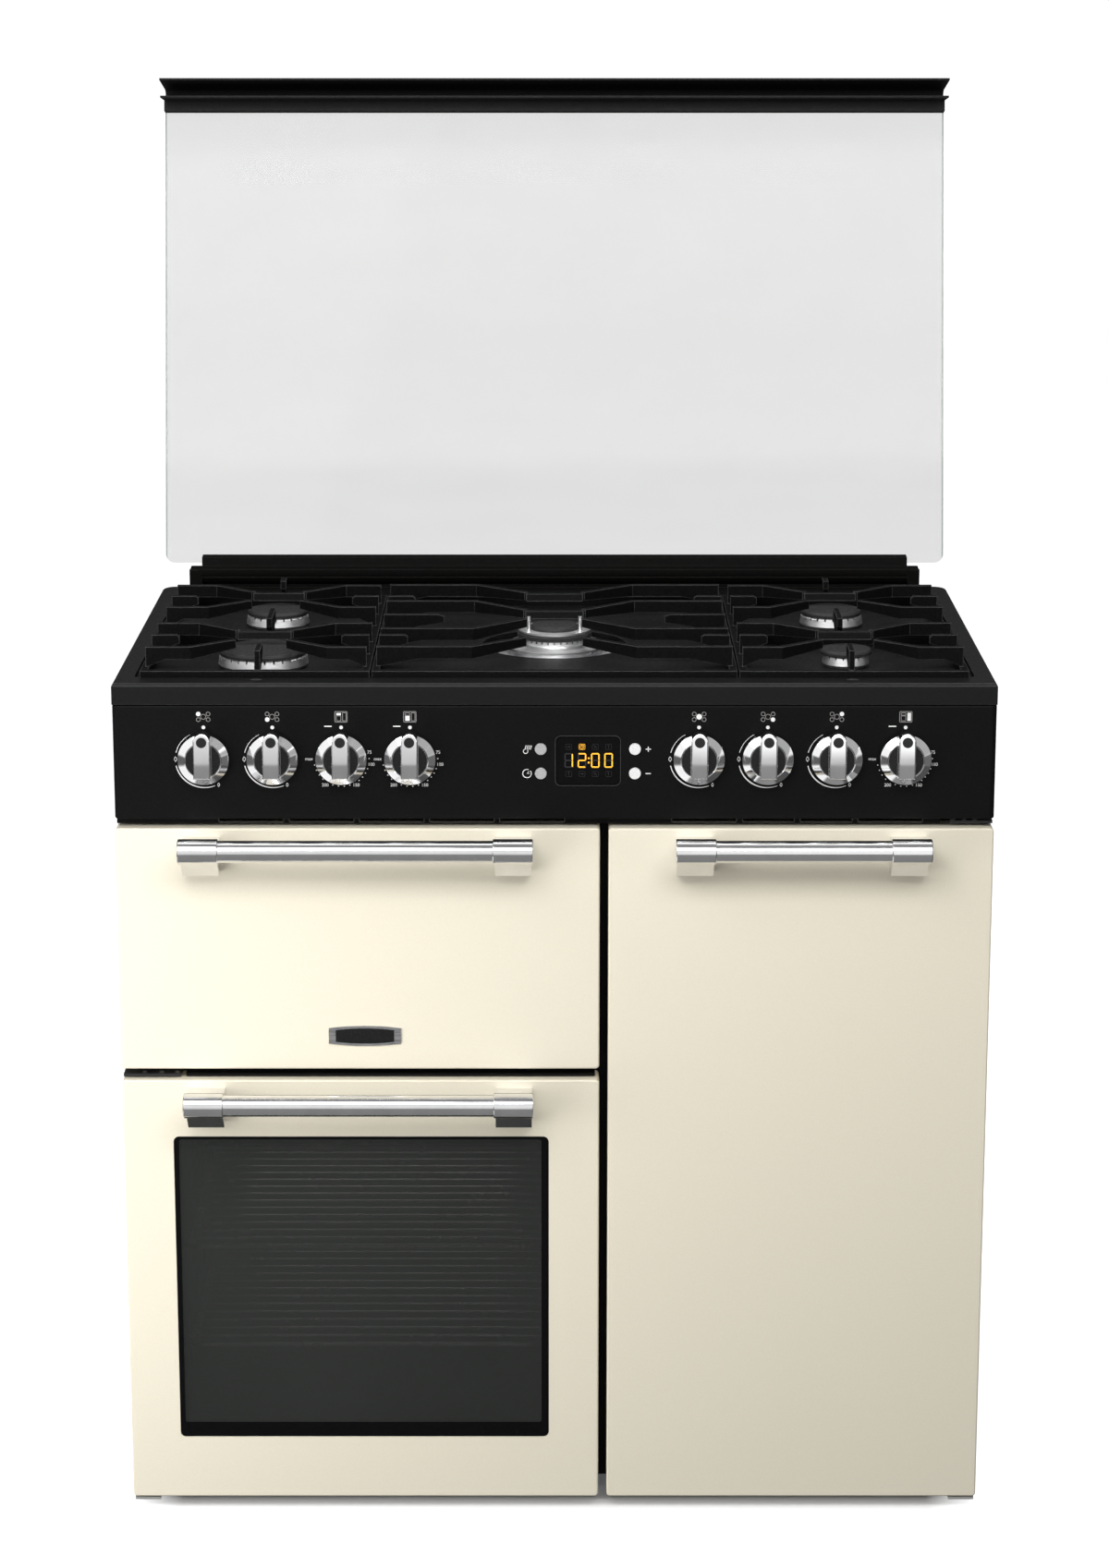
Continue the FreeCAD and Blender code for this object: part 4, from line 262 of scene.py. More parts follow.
# A finish's or a room's tools: its nodes, its shader, and the place or direction that its patterns read.
class Bench:
    def __init__(self, name, room=False):
        self.material = (bpy.data.worlds if room else bpy.data.materials).new(name)
        self.material.use_nodes = True
        self.nodes = self.material.node_tree.nodes
        self.links = self.material.node_tree.links
        self.shader = self.nodes["Background" if room else "Principled BSDF"]
        self.place = self.nodes.new("ShaderNodeTexCoord").outputs["Generated" if room else "Object"]

    # Place times scale, axis by axis.
    def stretched(self, scale):
        mapping = self.nodes.new("ShaderNodeMapping")
        mapping.inputs["Scale"].default_value = scale
        self.links.new(self.place, mapping.inputs["Vector"])
        return mapping.outputs["Vector"]

    # Noise from 0 to 1, of scale patches a metre.
    def noise(self, scale, detail=3.0, place=None):
        made = self.nodes.new("ShaderNodeTexNoise")
        made.inputs["Scale"].default_value, made.inputs["Detail"].default_value = scale, detail
        self.links.new(place or self.place, made.inputs["Vector"])
        return made.outputs["Fac"]

    # Cells, scale of them a metre: the distance to a cell's middle, or its own colour.
    def cells(self, scale, output):
        made = self.nodes.new("ShaderNodeTexVoronoi")
        made.inputs["Scale"].default_value = scale
        self.links.new(self.place, made.inputs["Vector"])
        return made.outputs[output]

    # Colour by value, straight between the stops.
    def colours(self, value, stops):
        made = self.nodes.new("ShaderNodeValToRGB")
        while len(made.color_ramp.elements) < len(stops):
            made.color_ramp.elements.new(0.5)
        for element, (at, colour) in zip(made.color_ramp.elements, stops):
            element.position, element.color = at, (*colour, 1)
        self.links.new(value, made.inputs["Fac"])
        return made.outputs["Color"]

    # low + (high - low) * (value - start) / (end - start), held at both ends.
    def between(self, value, low, high, start=0.3, end=0.7):
        made = self.nodes.new("ShaderNodeMapRange")
        for key, number in (("From Min", start), ("From Max", end), ("To Min", low), ("To Max", high)):
            made.inputs[key].default_value = number
        self.links.new(value, made.inputs["Value"])
        return made.outputs["Result"]

    # Two values, or links, joined by one operation.
    def maths(self, kind, first, second):
        made = self.nodes.new("ShaderNodeMath")
        made.operation = kind
        for socket, value in zip(made.inputs, (first, second)):
            if isinstance(value, (int, float)):
                socket.default_value = value
            else:
                self.links.new(value, socket)
        return made.outputs["Value"]

    # The place's three parts.
    def axes(self):
        made = self.nodes.new("ShaderNodeSeparateXYZ")
        self.links.new(self.place, made.inputs["Vector"])
        return made.outputs

    # Normal leaned by the slope of depth * height, on top of the rounded one.
    def bump(self, height, depth, rounded=None):
        made = self.nodes.new("ShaderNodeBump")
        made.inputs["Strength"].default_value = 1.0
        made.inputs["Distance"].default_value = depth
        self.links.new(height, made.inputs["Height"])
        if rounded:
            self.links.new(rounded, made.inputs["Normal"])
        self.links.new(made.outputs["Normal"], self.shader.inputs["Normal"])

    # Normal averaged over a radius, so that a sharp edge looks rounded.
    def rounding(self, radius):
        made = self.nodes.new("ShaderNodeBevel")
        made.inputs["Radius"].default_value = radius
        return made.outputs["Normal"]

    # Painted edge highlight: where rounded . flat falls from the upper match to the lower, colour turns to the
    # lighter highlight one. On the Mix node the inputs 6 and 7 are its two colours and the output 2 is the mixed one.
    def paintEdgeHighlight(self, rounded, colour, worn):
        flat = self.nodes.new("ShaderNodeNewGeometry").outputs["Normal"]
        match = self.nodes.new("ShaderNodeVectorMath")
        match.operation = "DOT_PRODUCT"
        self.links.new(rounded, match.inputs[0])
        self.links.new(flat, match.inputs[1])
        mixed = self.nodes.new("ShaderNodeMix")
        mixed.data_type = "RGBA"
        self.links.new(self.between(match.outputs["Value"], 1.0, 0.0, *grainLook["paintEdgeHighlight"]), mixed.inputs["Factor"])
        self.links.new(colour, mixed.inputs[6])
        mixed.inputs[7].default_value = (*worn, 1)
        return mixed.outputs[2]

    # A constant is set on the shader's socket, anything else is linked to it.
    def paint(self, socket, value):
        if isinstance(value, (int, float)):
            self.shader.inputs[socket].default_value = value
        else:
            self.links.new(value, self.shader.inputs[socket])


# Colour runs from dark to light over one noise and roughness over a finer one; bump = depth * noise of the
# pits; an edge is rounded and given a painted highlight where the look says so, and a glow gives off the colour.
def makeFinish(name, look):
    grain = grainLook
    bench = Bench(name)
    place = bench.stretched(look["stretch"]) if "stretch" in look else None
    stops = list(zip(grain["stops"], (look["dark"], look["light"])))
    colour = bench.colours(bench.noise(look["patch"], grain["detail"], place), stops)
    rounded = bench.rounding(look["edge"]) if "edge" in look else None
    # Along sharp edges the colour turns lighter, a painted highlight where an edge would catch light.
    bench.paint("Base Color", bench.paintEdgeHighlight(rounded, colour, look["worn"]) if rounded else colour)
    fine = bench.noise(look["patch"] * grain["roughShare"], grain["roughDetail"], place)
    bench.paint("Roughness", bench.between(fine, *look["rough"]))
    bench.bump(bench.noise(look["pits"][0], grain["pitDetail"]), look["pits"][1], rounded)
    bench.paint("Metallic", look.get("metal", 0.0))
    bench.paint("Specular IOR Level", look.get("spec", 0.5))
    bench.paint("Coat Weight", look.get("coat", 0.0))
    # A glow gives off the colour: the clock's lit bars are real light, the white print's glow is painted light.
    if "glow" in look:
        bench.paint("Emission Color", colour)
        bench.paint("Emission Strength", look["glow"])
    return bench.material


# Surface of the finishes below: roughness over a noise of roughPatch patches a metre, bump = depth * noise of
# the pits.
def makeSurface(bench, look):
    if "roughPatch" in look:
        bench.paint("Roughness", bench.between(bench.noise(look["roughPatch"]), *look["rough"]))
    bench.bump(bench.noise(look["pits"][0]), look["pits"][1])
    bench.paint("Specular IOR Level", look["spec"])
    return bench.material


paint = {name: makeFinish(name, look) for name, look in finishes.items()}

# Oven enamel: near black, with a pale speck at the middle of each small cell.
speckledLook = {"ground": (0.016, 0.017, 0.019), "speck": (0.22, 0.22, 0.22), "cells": 420,
                "reach": (0.10, 0.20), "roughPatch": 80, "rough": (0.24, 0.36), "pits": (300, 0.00005),
                "spec": 0.4}
bench = Bench("speckledEnamel")
fromMiddle = bench.cells(speckledLook["cells"], "Distance")
speckStops = list(zip(speckledLook["reach"], (speckledLook["speck"], speckledLook["ground"])))
bench.paint("Base Color", bench.colours(fromMiddle, speckStops))
paint["speckledEnamel"] = makeSurface(bench, speckledLook)

# Zinc-coated sheet: broad crystal cells that differ a little in brightness and in gloss.
zincLook = {"cells": 55, "light": (0.60, 0.61, 0.62), "dark": (0.40, 0.41, 0.42), "stops": (0.2, 0.8),
            "rough": (0.30, 0.46), "pits": (240, 0.00004), "spec": 0.5}
bench = Bench("zincSheet")
crystal = bench.cells(zincLook["cells"], "Color")
zincStops = list(zip(zincLook["stops"], (zincLook["dark"], zincLook["light"])))
bench.paint("Base Color", bench.colours(crystal, zincStops))
bench.paint("Roughness", bench.between(crystal, *zincLook["rough"]))
bench.paint("Metallic", 1.0)
paint["zincSheet"] = makeSurface(bench, zincLook)

# Hinge plates: zinc-coated below a height, for the pair under the doors, and black above, where they stand
# between doors.
hingeLook = {"low": 0.05, "high": 0.10, "zinc": (0.62, 0.62, 0.60), "black": (0.016, 0.016, 0.017),
             "metal": (0.8, 0.0), "roughPatch": 300, "rough": (0.40, 0.55), "pits": (650, 0.00004),
             "spec": 0.4}
bench = Bench("hingeSteel")
isHigh = bench.between(bench.axes()["Z"], 0.0, 1.0, hingeLook["low"], hingeLook["high"])
bench.paint("Base Color", bench.colours(isHigh, [(0.0, hingeLook["zinc"]), (1.0, hingeLook["black"])]))
bench.paint("Metallic", bench.between(isHigh, *hingeLook["metal"], 0.0, 1.0))
paint["hingeSteel"] = makeSurface(bench, hingeLook)

# Smoked door glass: dark tint you can see the shelves through, a little denser in drifting patches.
smokedLook = {"tint": (0.040, 0.043, 0.040), "edge": (0.036, 0.039, 0.036), "stops": (0.3, 0.7),
              "see": (0.42, 0.45), "patch": 6, "roughPatch": 40, "rough": (0.03, 0.07), "pits": (30, 0.00001),
              "spec": 0.35}
bench = Bench("smokedGlass")
drift = bench.noise(smokedLook["patch"])
smokedStops = list(zip(smokedLook["stops"], (smokedLook["edge"], smokedLook["tint"])))
bench.paint("Base Color", bench.colours(drift, smokedStops))
bench.paint("Alpha", bench.between(drift, *smokedLook["see"]))
paint["smokedGlass"] = makeSurface(bench, smokedLook)

# Lid glass: pale and clear, its ground edges green and cloudy, by the distance from the middle.
lidLook = {"tint": (0.14, 0.14, 0.14), "edge": (0.30, 0.42, 0.38), "see": 0.19, "edgeSee": 0.75, "rim": 0.4457,
           "band": 0.0018, "roughPatch": 25, "rough": (0.04, 0.09), "pits": (18, 0.00001), "spec": 0.3}
bench = Bench("lidGlass")
fromCentre = bench.maths("ABSOLUTE", bench.axes()["X"], 0.0)
atEdge = bench.between(fromCentre, 0.0, 1.0, lidLook["rim"], lidLook["rim"] + lidLook["band"])
bench.paint("Base Color", bench.colours(atEdge, [(0.0, lidLook["tint"]), (1.0, lidLook["edge"])]))
bench.paint("Alpha", bench.between(atEdge, lidLook["see"], lidLook["edgeSee"], 0.0, 1.0))
paint["lidGlass"] = makeSurface(bench, lidLook)
print("finishes:", len(paint))

# Which finish each part of the frame wears.
wears = {
    "creamEnamel": ["grill_door_panel", "main_door_panel", "tall_door_panel"],
    "panelBlack": ["control_panel", "front_frame"],
    "hobBlack": ["hob_top"],
    "trimBlack": ["lid_front_trim"],
    "railBlack": ["lid_hinge_rail", "lid_hinge_base"],
    "sheetBlack": ["cabinet_panels"],
    "hingeSteel": ["door_hinge_plates"],
    "castIron": ["pan_support_left", "pan_support_center", "pan_support_right"],
    "capEnamel": ["burner_caps"],
    "chromePlate": [n for n in nodes if n.endswith("_knob")],
    "handleSteel": ["grill_door_handle", "main_door_handle", "tall_door_handle"],
    "brushedSteel": ["main_oven_fan", "tall_oven_fan", "heating_elements", "oven_regulators",
                     "grill_door_badge"] + [n for n in nodes if n.endswith("_spindle")],
    "burnerAluminium": ["burner_crowns", "wok_burner"],
    "wireChrome": ["oven_shelves", "shelf_side_racks"],
    "brassBody": ["gas_rail"],
    "blackPlastic": ["levelling_feet"],
    "displayBlack": ["clock_module"],
    "greyButton": ["clock_button_upper_left", "clock_button_lower_left"],
    "whiteButton": ["clock_button_upper_right", "clock_button_lower_right"],
    "sealRubber": ["oven_door_seals"],
    "glazedCeramic": ["ignition_electrodes"],
    "speckledEnamel": ["grill_cavity", "main_oven_cavity", "tall_oven_cavity", "fan_baffles", "grill_door_liner",
                       "main_door_liner", "tall_door_liner"],
    "zincSheet": ["base_chassis", "fan_motors"],
    "smokedGlass": ["main_door_glass"],
    "lidGlass": ["lid_glass"],
}
for finishName, wearers in wears.items():
    for wearer in wearers:
        nodes[wearer].data.materials.clear()
        nodes[wearer].data.materials.append(paint[finishName])
bare = set(nodes) - {n for wearers in wears.values() for n in wearers}
print("parts dressed:", len(nodes) - len(bare), "bare:", sorted(bare))

# Knobs: black inlays in the dish on both sides of the grip, and a black dot on the grip's round nose.
knobLook = {"dish": 0.0178, "grip": 0.0088, "dishFace": -0.3200, "gripFace": -0.3340, "crown": 0.300,
            "dotUp": 0.0218, "dotRadius": 0.0053, "dotEdge": 0.0001, "dotTop": 0.0002, "dotRound": 36,
            "thick": 0.0004, "height": 0.828, "rows": 25, "columns": 5}
gasKnobs = {"rear_left": -0.357, "front_left": -0.287, "wok": 0.147, "front_right": 0.217, "rear_right": 0.287}
ovenKnobs = {"grill": -0.217, "main_oven": -0.147, "tall_oven": 0.357}


# Half dish: the strip between the grip's side and the circle, rows up the knob, columns out from the grip. The
# dot lies on the grip's crown, an arc of the crown's radius: it leans by asin(dotUp / crown) and falls back by
# the arc's rise.
def knobInlay(x):
    k = knobLook
    rise = np.linspace(-1, 1, k["rows"]) * math.sqrt(k["dish"] ** 2 - k["grip"] ** 2)
    out = np.sqrt(k["dish"] ** 2 - rise ** 2)
    reach = k["grip"] + (out - k["grip"])[:, None] * np.linspace(0, 1, k["columns"])
    height = np.broadcast_to(rise[:, None] + k["height"], reach.shape)
    halves = [slab(np.stack([x + side * reach, height], -1), k["dishFace"], k["thick"]) for side in (-1, 1)]
    lean = math.asin(k["dotUp"] / k["crown"])
    fall = k["crown"] * (1 - math.cos(lean))
    profile = [(0, -k["thick"]), (k["dotRadius"], -k["thick"]), (k["dotRadius"], k["dotEdge"]), (0, k["dotTop"])]
    nose = turned(profile, (x, k["gripFace"] + fall, k["height"] + k["dotUp"]),
                  (0, -math.cos(lean), math.sin(lean)), k["dotRound"])
    return halves + [nose]


for knobName, x in gasKnobs.items():
    makePiece(knobName + "_knob_inlay", knobInlay(x), paint["blackPlastic"], knobName + "_gas_knob")
for knobName, x in ovenKnobs.items():
    makePiece(knobName + "_knob_inlay", knobInlay(x), paint["blackPlastic"], knobName + "_control")
print("knob inlays:", len(gasKnobs) + len(ovenKnobs))

# Printing on the panel: marks round each knob, burner and oven maps above, signs beside the clock buttons.
printLook = {"thick": 0.00008, "markZ": 0.826, "dotZ": 0.8595, "zeroDot": 0.0019, "mapZ": 0.8706,
             "thin": 0.0006, "fine": 0.0005}
burnerLook = {"step": (0.0050, 0.0029), "ring": 0.0020, "wokRing": 0.0026, "arc": (0, 345), "filledOut": 0.0003,
              "places": {"rear_left": (-1, 1), "rear_right": (1, 1), "front_left": (-1, -1), "front_right": (1, -1),
                         "wok": (0, 0)}}
ovenMapLook = {"frame": (0.0125, 0.0108), "frameCorner": 0.0008, "cellCorner": 0.0005,
               "cells": {"grill": ((-0.0024, 0.0028), (0.0046, 0.0024)),
                         "main_oven": ((-0.0024, -0.0016), (0.0046, 0.0052)),
                         "tall_oven": ((0.0034, 0.0), (0.0036, 0.0084))}}
flameLook = {"points": 24, "wide": 0.36, "pull": 0.45, "high": 0.62, "stem": (-0.45, -1.0)}
gasLook = {"radius": 0.0294, "upper": (118, 166, 20), "lower": (193, 291, 40), "least": 0.0003, "swell": 0.0005,
           "fade": 0.0011, "fadeSpan": (0.55, 2.9),
           "flames": (((-0.0292, 0.0008), 0.0034), ((0.0142, -0.0262), 0.0026))}
ovenLook = {"radius": 0.0281, "dot": 0.00062, "dotRound": 10, "letter": 0.0034,
            "groups": ((2, 0, 1), (-20, -10.4, 4), (-73, -12.1, 4), (-133, -11.7, 4)),
            "numbers": {"75": (0.0285, 0.0075), "100": (0.0302, -0.0052), "150": (0.0146, -0.0268),
                        "200": (-0.0170, -0.0268), "max": (-0.0332, 0.0006)},
            "bar": ((-0.0172, 0.0012), (-0.0096, 0.0012)), "barWidth": 0.0011}
signLook = {"left": -0.0280, "right": 0.0955, "high": 0.8368, "low": 0.8113, "line": 0.0007,
            "face": (0.0044, 70, 400, 40), "faceLine": 0.0008, "hands": ((0.0018, 0.0022), (0, 0), (0.0024, 0)),
            "bar": 0.0027, "barLine": 0.0010, "palm": (-0.0014, -0.0022), "palmArc": (0.0023, 120, 395, 20),
            "fingers": (-0.0022, 0.0034, 4), "finger": ((0, -0.0004), (0.0013, 0.0040))}


# A stroke in the panel's own plane and thickness of ink.
def inked(line, width, loop=False):
    return stroke(line, width, frontY, printLook["thick"], loop)


# Map of the five burners: four small rings about a larger one, each at its place times the step, the chosen one
# filled.
def burnerMap(x, chosen):
    b = burnerLook
    sheets = []
    for name, place in b["places"].items():
        centre = np.array([x, printLook["mapZ"]]) + np.array(place) * b["step"]
        radius = b["wokRing"] if name == "wok" else b["ring"]
        if name == chosen:
            sheets.append(("white", dot(centre, radius + b["filledOut"], frontY, printLook["thick"])))
        else:
            sheets.append(("grey", inked(arcLine(centre, radius, *b["arc"]), printLook["fine"], True)))
    return sheets


# Map of the ovens: a frame with the grill over the main oven on the left and the tall oven on the right; the
# chosen one is a block from centre - half to centre + half.
def ovenMap(x, chosen):
    m = ovenMapLook
    middle = np.array([x, printLook["mapZ"]])
    sheets = [("grey", inked(roundedLine(middle, *m["frame"], m["frameCorner"]), printLook["thin"], True))]
    for name, (offset, (wide, high)) in m["cells"].items():
        centre = middle + offset
        if name == chosen:
            half = np.array([-0.5, 0.5])
            block = np.stack(np.meshgrid(centre[0] + half * wide, centre[1] + half * high), -1)
            sheets.append(("white", slab(block, frontY, printLook["thick"])))
        else:
            cell = roundedLine(centre, wide, high, m["cellCorner"])
            sheets.append(("grey", inked(cell, printLook["fine"], True)))
    return sheets


# A small flame: a drop pulled up to a point, x = wide * cos t * (1 - pull * sin t) and z = high * sin t, times
# its size, with a short stem under it.
def flame(centre, size):
    f = flameLook
    t = np.linspace(0, 2 * np.pi, f["points"], endpoint=False)
    drop = np.stack([f["wide"] * np.cos(t) * (1 - f["pull"] * np.sin(t)), f["high"] * np.sin(t)], -1)
    stem = np.array([(0, down) for down in f["stem"]])
    return [("white", inked(centre + size * drop, printLook["fine"], True)),
            ("white", inked(centre + size * stem, printLook["fine"]))]


# Gas marks: an arc that grows to the flame at nine o'clock, width = least + swell * share of the way, and one
# that swells and fades to the small flame at five, width = least + fade * sine of the span.
def gasMarks(x, name):
    g = gasLook
    centre = np.array([x, printLook["markZ"]])
    upper, lower = (arcLine(centre, g["radius"], *g[side]) for side in ("upper", "lower"))
    upperWidth = g["least"] + g["swell"] * np.linspace(0, 1, len(upper))
    lowerWidth = g["least"] + g["fade"] * np.sin(np.linspace(*g["fadeSpan"], len(lower)))
    marks = [("white", inked(upper, upperWidth)), ("white", inked(lower, lowerWidth))]
    for offset, size in g["flames"]:
        marks += flame(centre + offset, size)
    return marks + burnerMap(x, name)


# Oven marks: groups of dots at start + step * count degrees with numbers between them, and a bar beside the
# zero dot.
def ovenMarks(x, name):
    o = ovenLook
    centre = np.array([x, printLook["markZ"]])
    turn = np.radians(np.concatenate([start + step * np.arange(count) for start, step, count in o["groups"]]))
    spots = centre + o["radius"] * np.stack([np.cos(turn), np.sin(turn)], -1)
    marks = [("white", dot(spot, o["dot"], frontY, printLook["thick"], o["dotRound"])) for spot in spots]
    marks += [("white", lettering(text, o["letter"], centre + offset, frontY, printLook["thick"]))
              for text, offset in o["numbers"].items()]
    bar = np.array([x, printLook["dotZ"]]) + o["bar"]
    return marks + [("white", inked(bar, o["barWidth"]))] + ovenMap(x, name)


# Signs beside the clock's buttons: hand and clock face on the left, plus and minus on the right, each about its
# middle.
def buttonSigns():
    k = signLook
    hand, face, plus, minus = (np.array([k[side], k[row]]) for side in ("left", "right") for row in ("high", "low"))
    flat = np.array([(-1, 0), (1, 0)]) * k["bar"]
    upright = flat[:, ::-1]
    signs = [inked(arcLine(face, *k["face"]), k["faceLine"]), inked(face + k["hands"], k["line"]),
             inked(plus + flat, k["barLine"]), inked(plus + upright, k["barLine"]), inked(minus + flat, k["barLine"]),
             inked(arcLine(hand + k["palm"], *k["palmArc"]), k["line"])]
    signs += [inked(hand + (along, 0) + k["finger"], k["line"]) for along in np.linspace(*k["fingers"])]
    return [("white", sign) for sign in signs]


marks = buttonSigns()
for knobName, x in gasKnobs.items():
    marks += gasMarks(x, knobName)
for knobName, x in ovenKnobs.items():
    marks += ovenMarks(x, knobName)
marks += [("white", dot((x, printLook["dotZ"]), printLook["zeroDot"], frontY, printLook["thick"]))
          for x in [*gasKnobs.values(), *ovenKnobs.values()]]
for tone, finishName in (("white", "printWhite"), ("grey", "printGrey")):
    toneSheets = [sheet for ink, sheet in marks if ink == tone]
    makePiece("panel_print_" + tone, toneSheets, paint[finishName], "cabinet")
print("panel print:", len(marks), "marks")

# Clock display: four seven-bar figures with the unlit bars behind, two rows of small signs, one lit.
clockLook = {"x": 0.034, "z": 0.8246, "face": -0.3030, "thick": 0.0001, "wide": 0.0074, "high": 0.0140,
             "bar": 0.0014, "share": (0.02, 0.10, 0.90, 0.98), "taper": (0.35, 1, 1, 0.35), "time": "1200",
             "colonX": 0.0009, "colonUp": (-0.0022, 0.0022), "colonDot": 0.0010, "colonRound": 12,
             "lit": "clock", "columns": (-0.0195, -0.0060, 0.0076, 0.0211), "signUp": 0.0142,
             "sign": (0.0062, 0.005704), "signCorner": 0.0012, "signFrame": 0.00035, "signLine": 0.0005,
             "upperSigns": ("arrow", "clock", "sun", "bar"), "lowerSigns": ("bar", "arrow", "sun", "bar"),
             "rim": (0.0664, 0.0520), "rimCorner": 0.0055, "rimWidth": 0.0006}
barEnds = {"a": ((-1, 1), (1, 1)), "b": ((1, 1), (1, 0)), "c": ((1, 0), (1, -1)), "d": ((-1, -1), (1, -1)),
           "e": ((-1, 0), (-1, -1)), "f": ((-1, 1), (-1, 0)), "g": ((-1, 0), (1, 0))}
figures = {"1": "bc", "2": "abged", "0": "abcdef"}

# Lines of the small signs, about each sign's middle.
signLines = {
    "arrow": [[(-0.0020, 0), (0.0016, 0)], [(0.0004, 0.0011), (0.0016, 0), (0.0004, -0.0011)]],
    "clock": [arcLine((0, 0), 0.0020, 0, 350, 20), [(0, 0.0013), (0, 0), (0.0010, -0.0005)]],
    "sun": [arcLine((0, 0), 0.0009, 0, 350, 14), [(-0.0018, 0.0018), (-0.0011, 0.0011)],
            [(0.0011, -0.0011), (0.0018, -0.0018)]],
    "bar": [[(0, -0.0017), (0, 0.0017)], [(-0.0008, 0.0012), (0, 0.0019), (0.0008, 0.0012)]],
}


# A display bar: four points at shares of the way from end to end, narrow at both ends.
def displayBar(column, key):
    c = clockLook
    start, end = np.array(barEnds[key]) * [c["wide"] / 2, c["high"] / 2] + [c["x"] + column, c["z"]]
    line = start + (end - start) * np.array(c["share"])[:, None]
    return stroke(line, c["bar"] * np.array(c["taper"]), c["face"], c["thick"])


# Small signs in the display: a rounded frame with the sign's lines inside, all moved to its middle.
def displaySign(column, up, kind):
    c = clockLook
    centre = np.array([c["x"] + column, c["z"] + up])
    border = stroke(roundedLine(centre, *c["sign"], c["signCorner"]), c["signFrame"], c["face"], c["thick"], True)
    lines = [centre + np.asarray(line) for line in signLines[kind]]
    return [border] + [stroke(line, c["signLine"], c["face"], c["thick"]) for line in lines]


lit, unlit = [], []
for column, figure in zip(clockLook["columns"], clockLook["time"]):
    for key in barEnds:
        (lit if key in figures[figure] else unlit).append(displayBar(column, key))
for up in clockLook["colonUp"]:
    spot = (clockLook["x"] + clockLook["colonX"], clockLook["z"] + up)
    lit.append(dot(spot, clockLook["colonDot"], clockLook["face"], clockLook["thick"], clockLook["colonRound"]))
for column, upper, lower in zip(clockLook["columns"], clockLook["upperSigns"], clockLook["lowerSigns"]):
    (lit if upper == clockLook["lit"] else unlit).extend(displaySign(column, clockLook["signUp"], upper))
    unlit.extend(displaySign(column, -clockLook["signUp"], lower))
# A fine lighter line round the display window: a painted highlight on the edge of its recess.
rimHighlightLine = roundedLine((clockLook["x"], clockLook["z"]), *clockLook["rim"], clockLook["rimCorner"])
makePiece("clock_rim_highlight", [stroke(rimHighlightLine, clockLook["rimWidth"], frontY, clockLook["thick"], True)],
          paint["clockRimHighlight"], "cabinet")
makePiece("clock_lit_bars", lit, paint["amberLight"], "cabinet")
makePiece("clock_unlit_bars", unlit, paint["unlitGrey"], "cabinet")
print("clock display:", len(lit), "lit", len(unlit), "unlit")

# Badge: a bare black plate let into the metal frame, its long edges bowed: z = end + bow * (1 - (x / half)^2).
badgeLook = {"x": -0.1965, "z": 0.53175, "half": 0.0303, "end": 0.0063, "bow": 0.0019, "thick": 0.0004,
             "columns": 31, "rows": 9}
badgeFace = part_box("grill_door_badge")[0].y
across, up = np.meshgrid(np.linspace(-1, 1, badgeLook["columns"]), np.linspace(-1, 1, badgeLook["rows"]))
badgeFlat = np.stack([badgeLook["x"] + across * badgeLook["half"],
                      badgeLook["z"] + up * (badgeLook["end"] + badgeLook["bow"] * (1 - across ** 2))], -1)
makePiece("badge_inlay", [slab(badgeFlat, badgeFace, badgeLook["thick"])], paint["blackPlastic"], "grill_door")

# Door window: a black printed border on the outer pane, widest along the bottom.
windowLook = {"x": (-0.3975, -0.0065), "z": (0.085, 0.421), "left": 0.005, "right": 0.0072, "top": 0.003,
              "bottom": 0.0162, "corner": 0.005, "innerCorner": 0.0025, "thick": 0.0002}
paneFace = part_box("main_door_glass")[0].y


# Rounded rectangle between two limits across and two up.
def limitLine(limitX, limitZ, corner):
    middle = (sum(limitX) / 2, sum(limitZ) / 2)
    return roundedLine(middle, limitX[1] - limitX[0], limitZ[1] - limitZ[0], corner)


innerX = (windowLook["x"][0] + windowLook["left"], windowLook["x"][1] - windowLook["right"])
innerZ = (windowLook["z"][0] + windowLook["bottom"], windowLook["z"][1] - windowLook["top"])
borderFlat = np.stack([limitLine(windowLook["x"], windowLook["z"], windowLook["corner"]),
                       limitLine(innerX, innerZ, windowLook["innerCorner"])])
makePiece("window_border", [slab(borderFlat, paneFace, windowLook["thick"], True)], paint["displayBlack"],
          "main_door")

# Vent slots: a painted highlight on the rolled edge of each slot in the strip under the panel, a fine light line
# round a rounded rectangle.
ventLook = {"left": (-0.344, -0.272, -0.200, -0.128, -0.056), "right": (0.1205, 0.3115),
            "short": (0.193, 0.2523), "long": 0.066, "brief": 0.053, "z": 0.75965, "high": 0.0045,
            "corner": 0.002, "width": 0.0006, "y": -0.293, "thick": 0.0003}
vent = ventLook
spans = [(x, vent["long"]) for x in vent["left"] + vent["right"]] + [(x, vent["brief"]) for x in vent["short"]]
ventHighlights = []
for x, wide in spans:
    slot = roundedLine((x + wide / 2, vent["z"]), wide + vent["width"], vent["high"] + vent["width"], vent["corner"])
    ventHighlights.append(stroke(slot, vent["width"], vent["y"], vent["thick"], True))
makePiece("vent_slot_highlights", ventHighlights, paint["ventEdgeHighlight"], "cabinet")
print("vent slots:", len(ventHighlights))

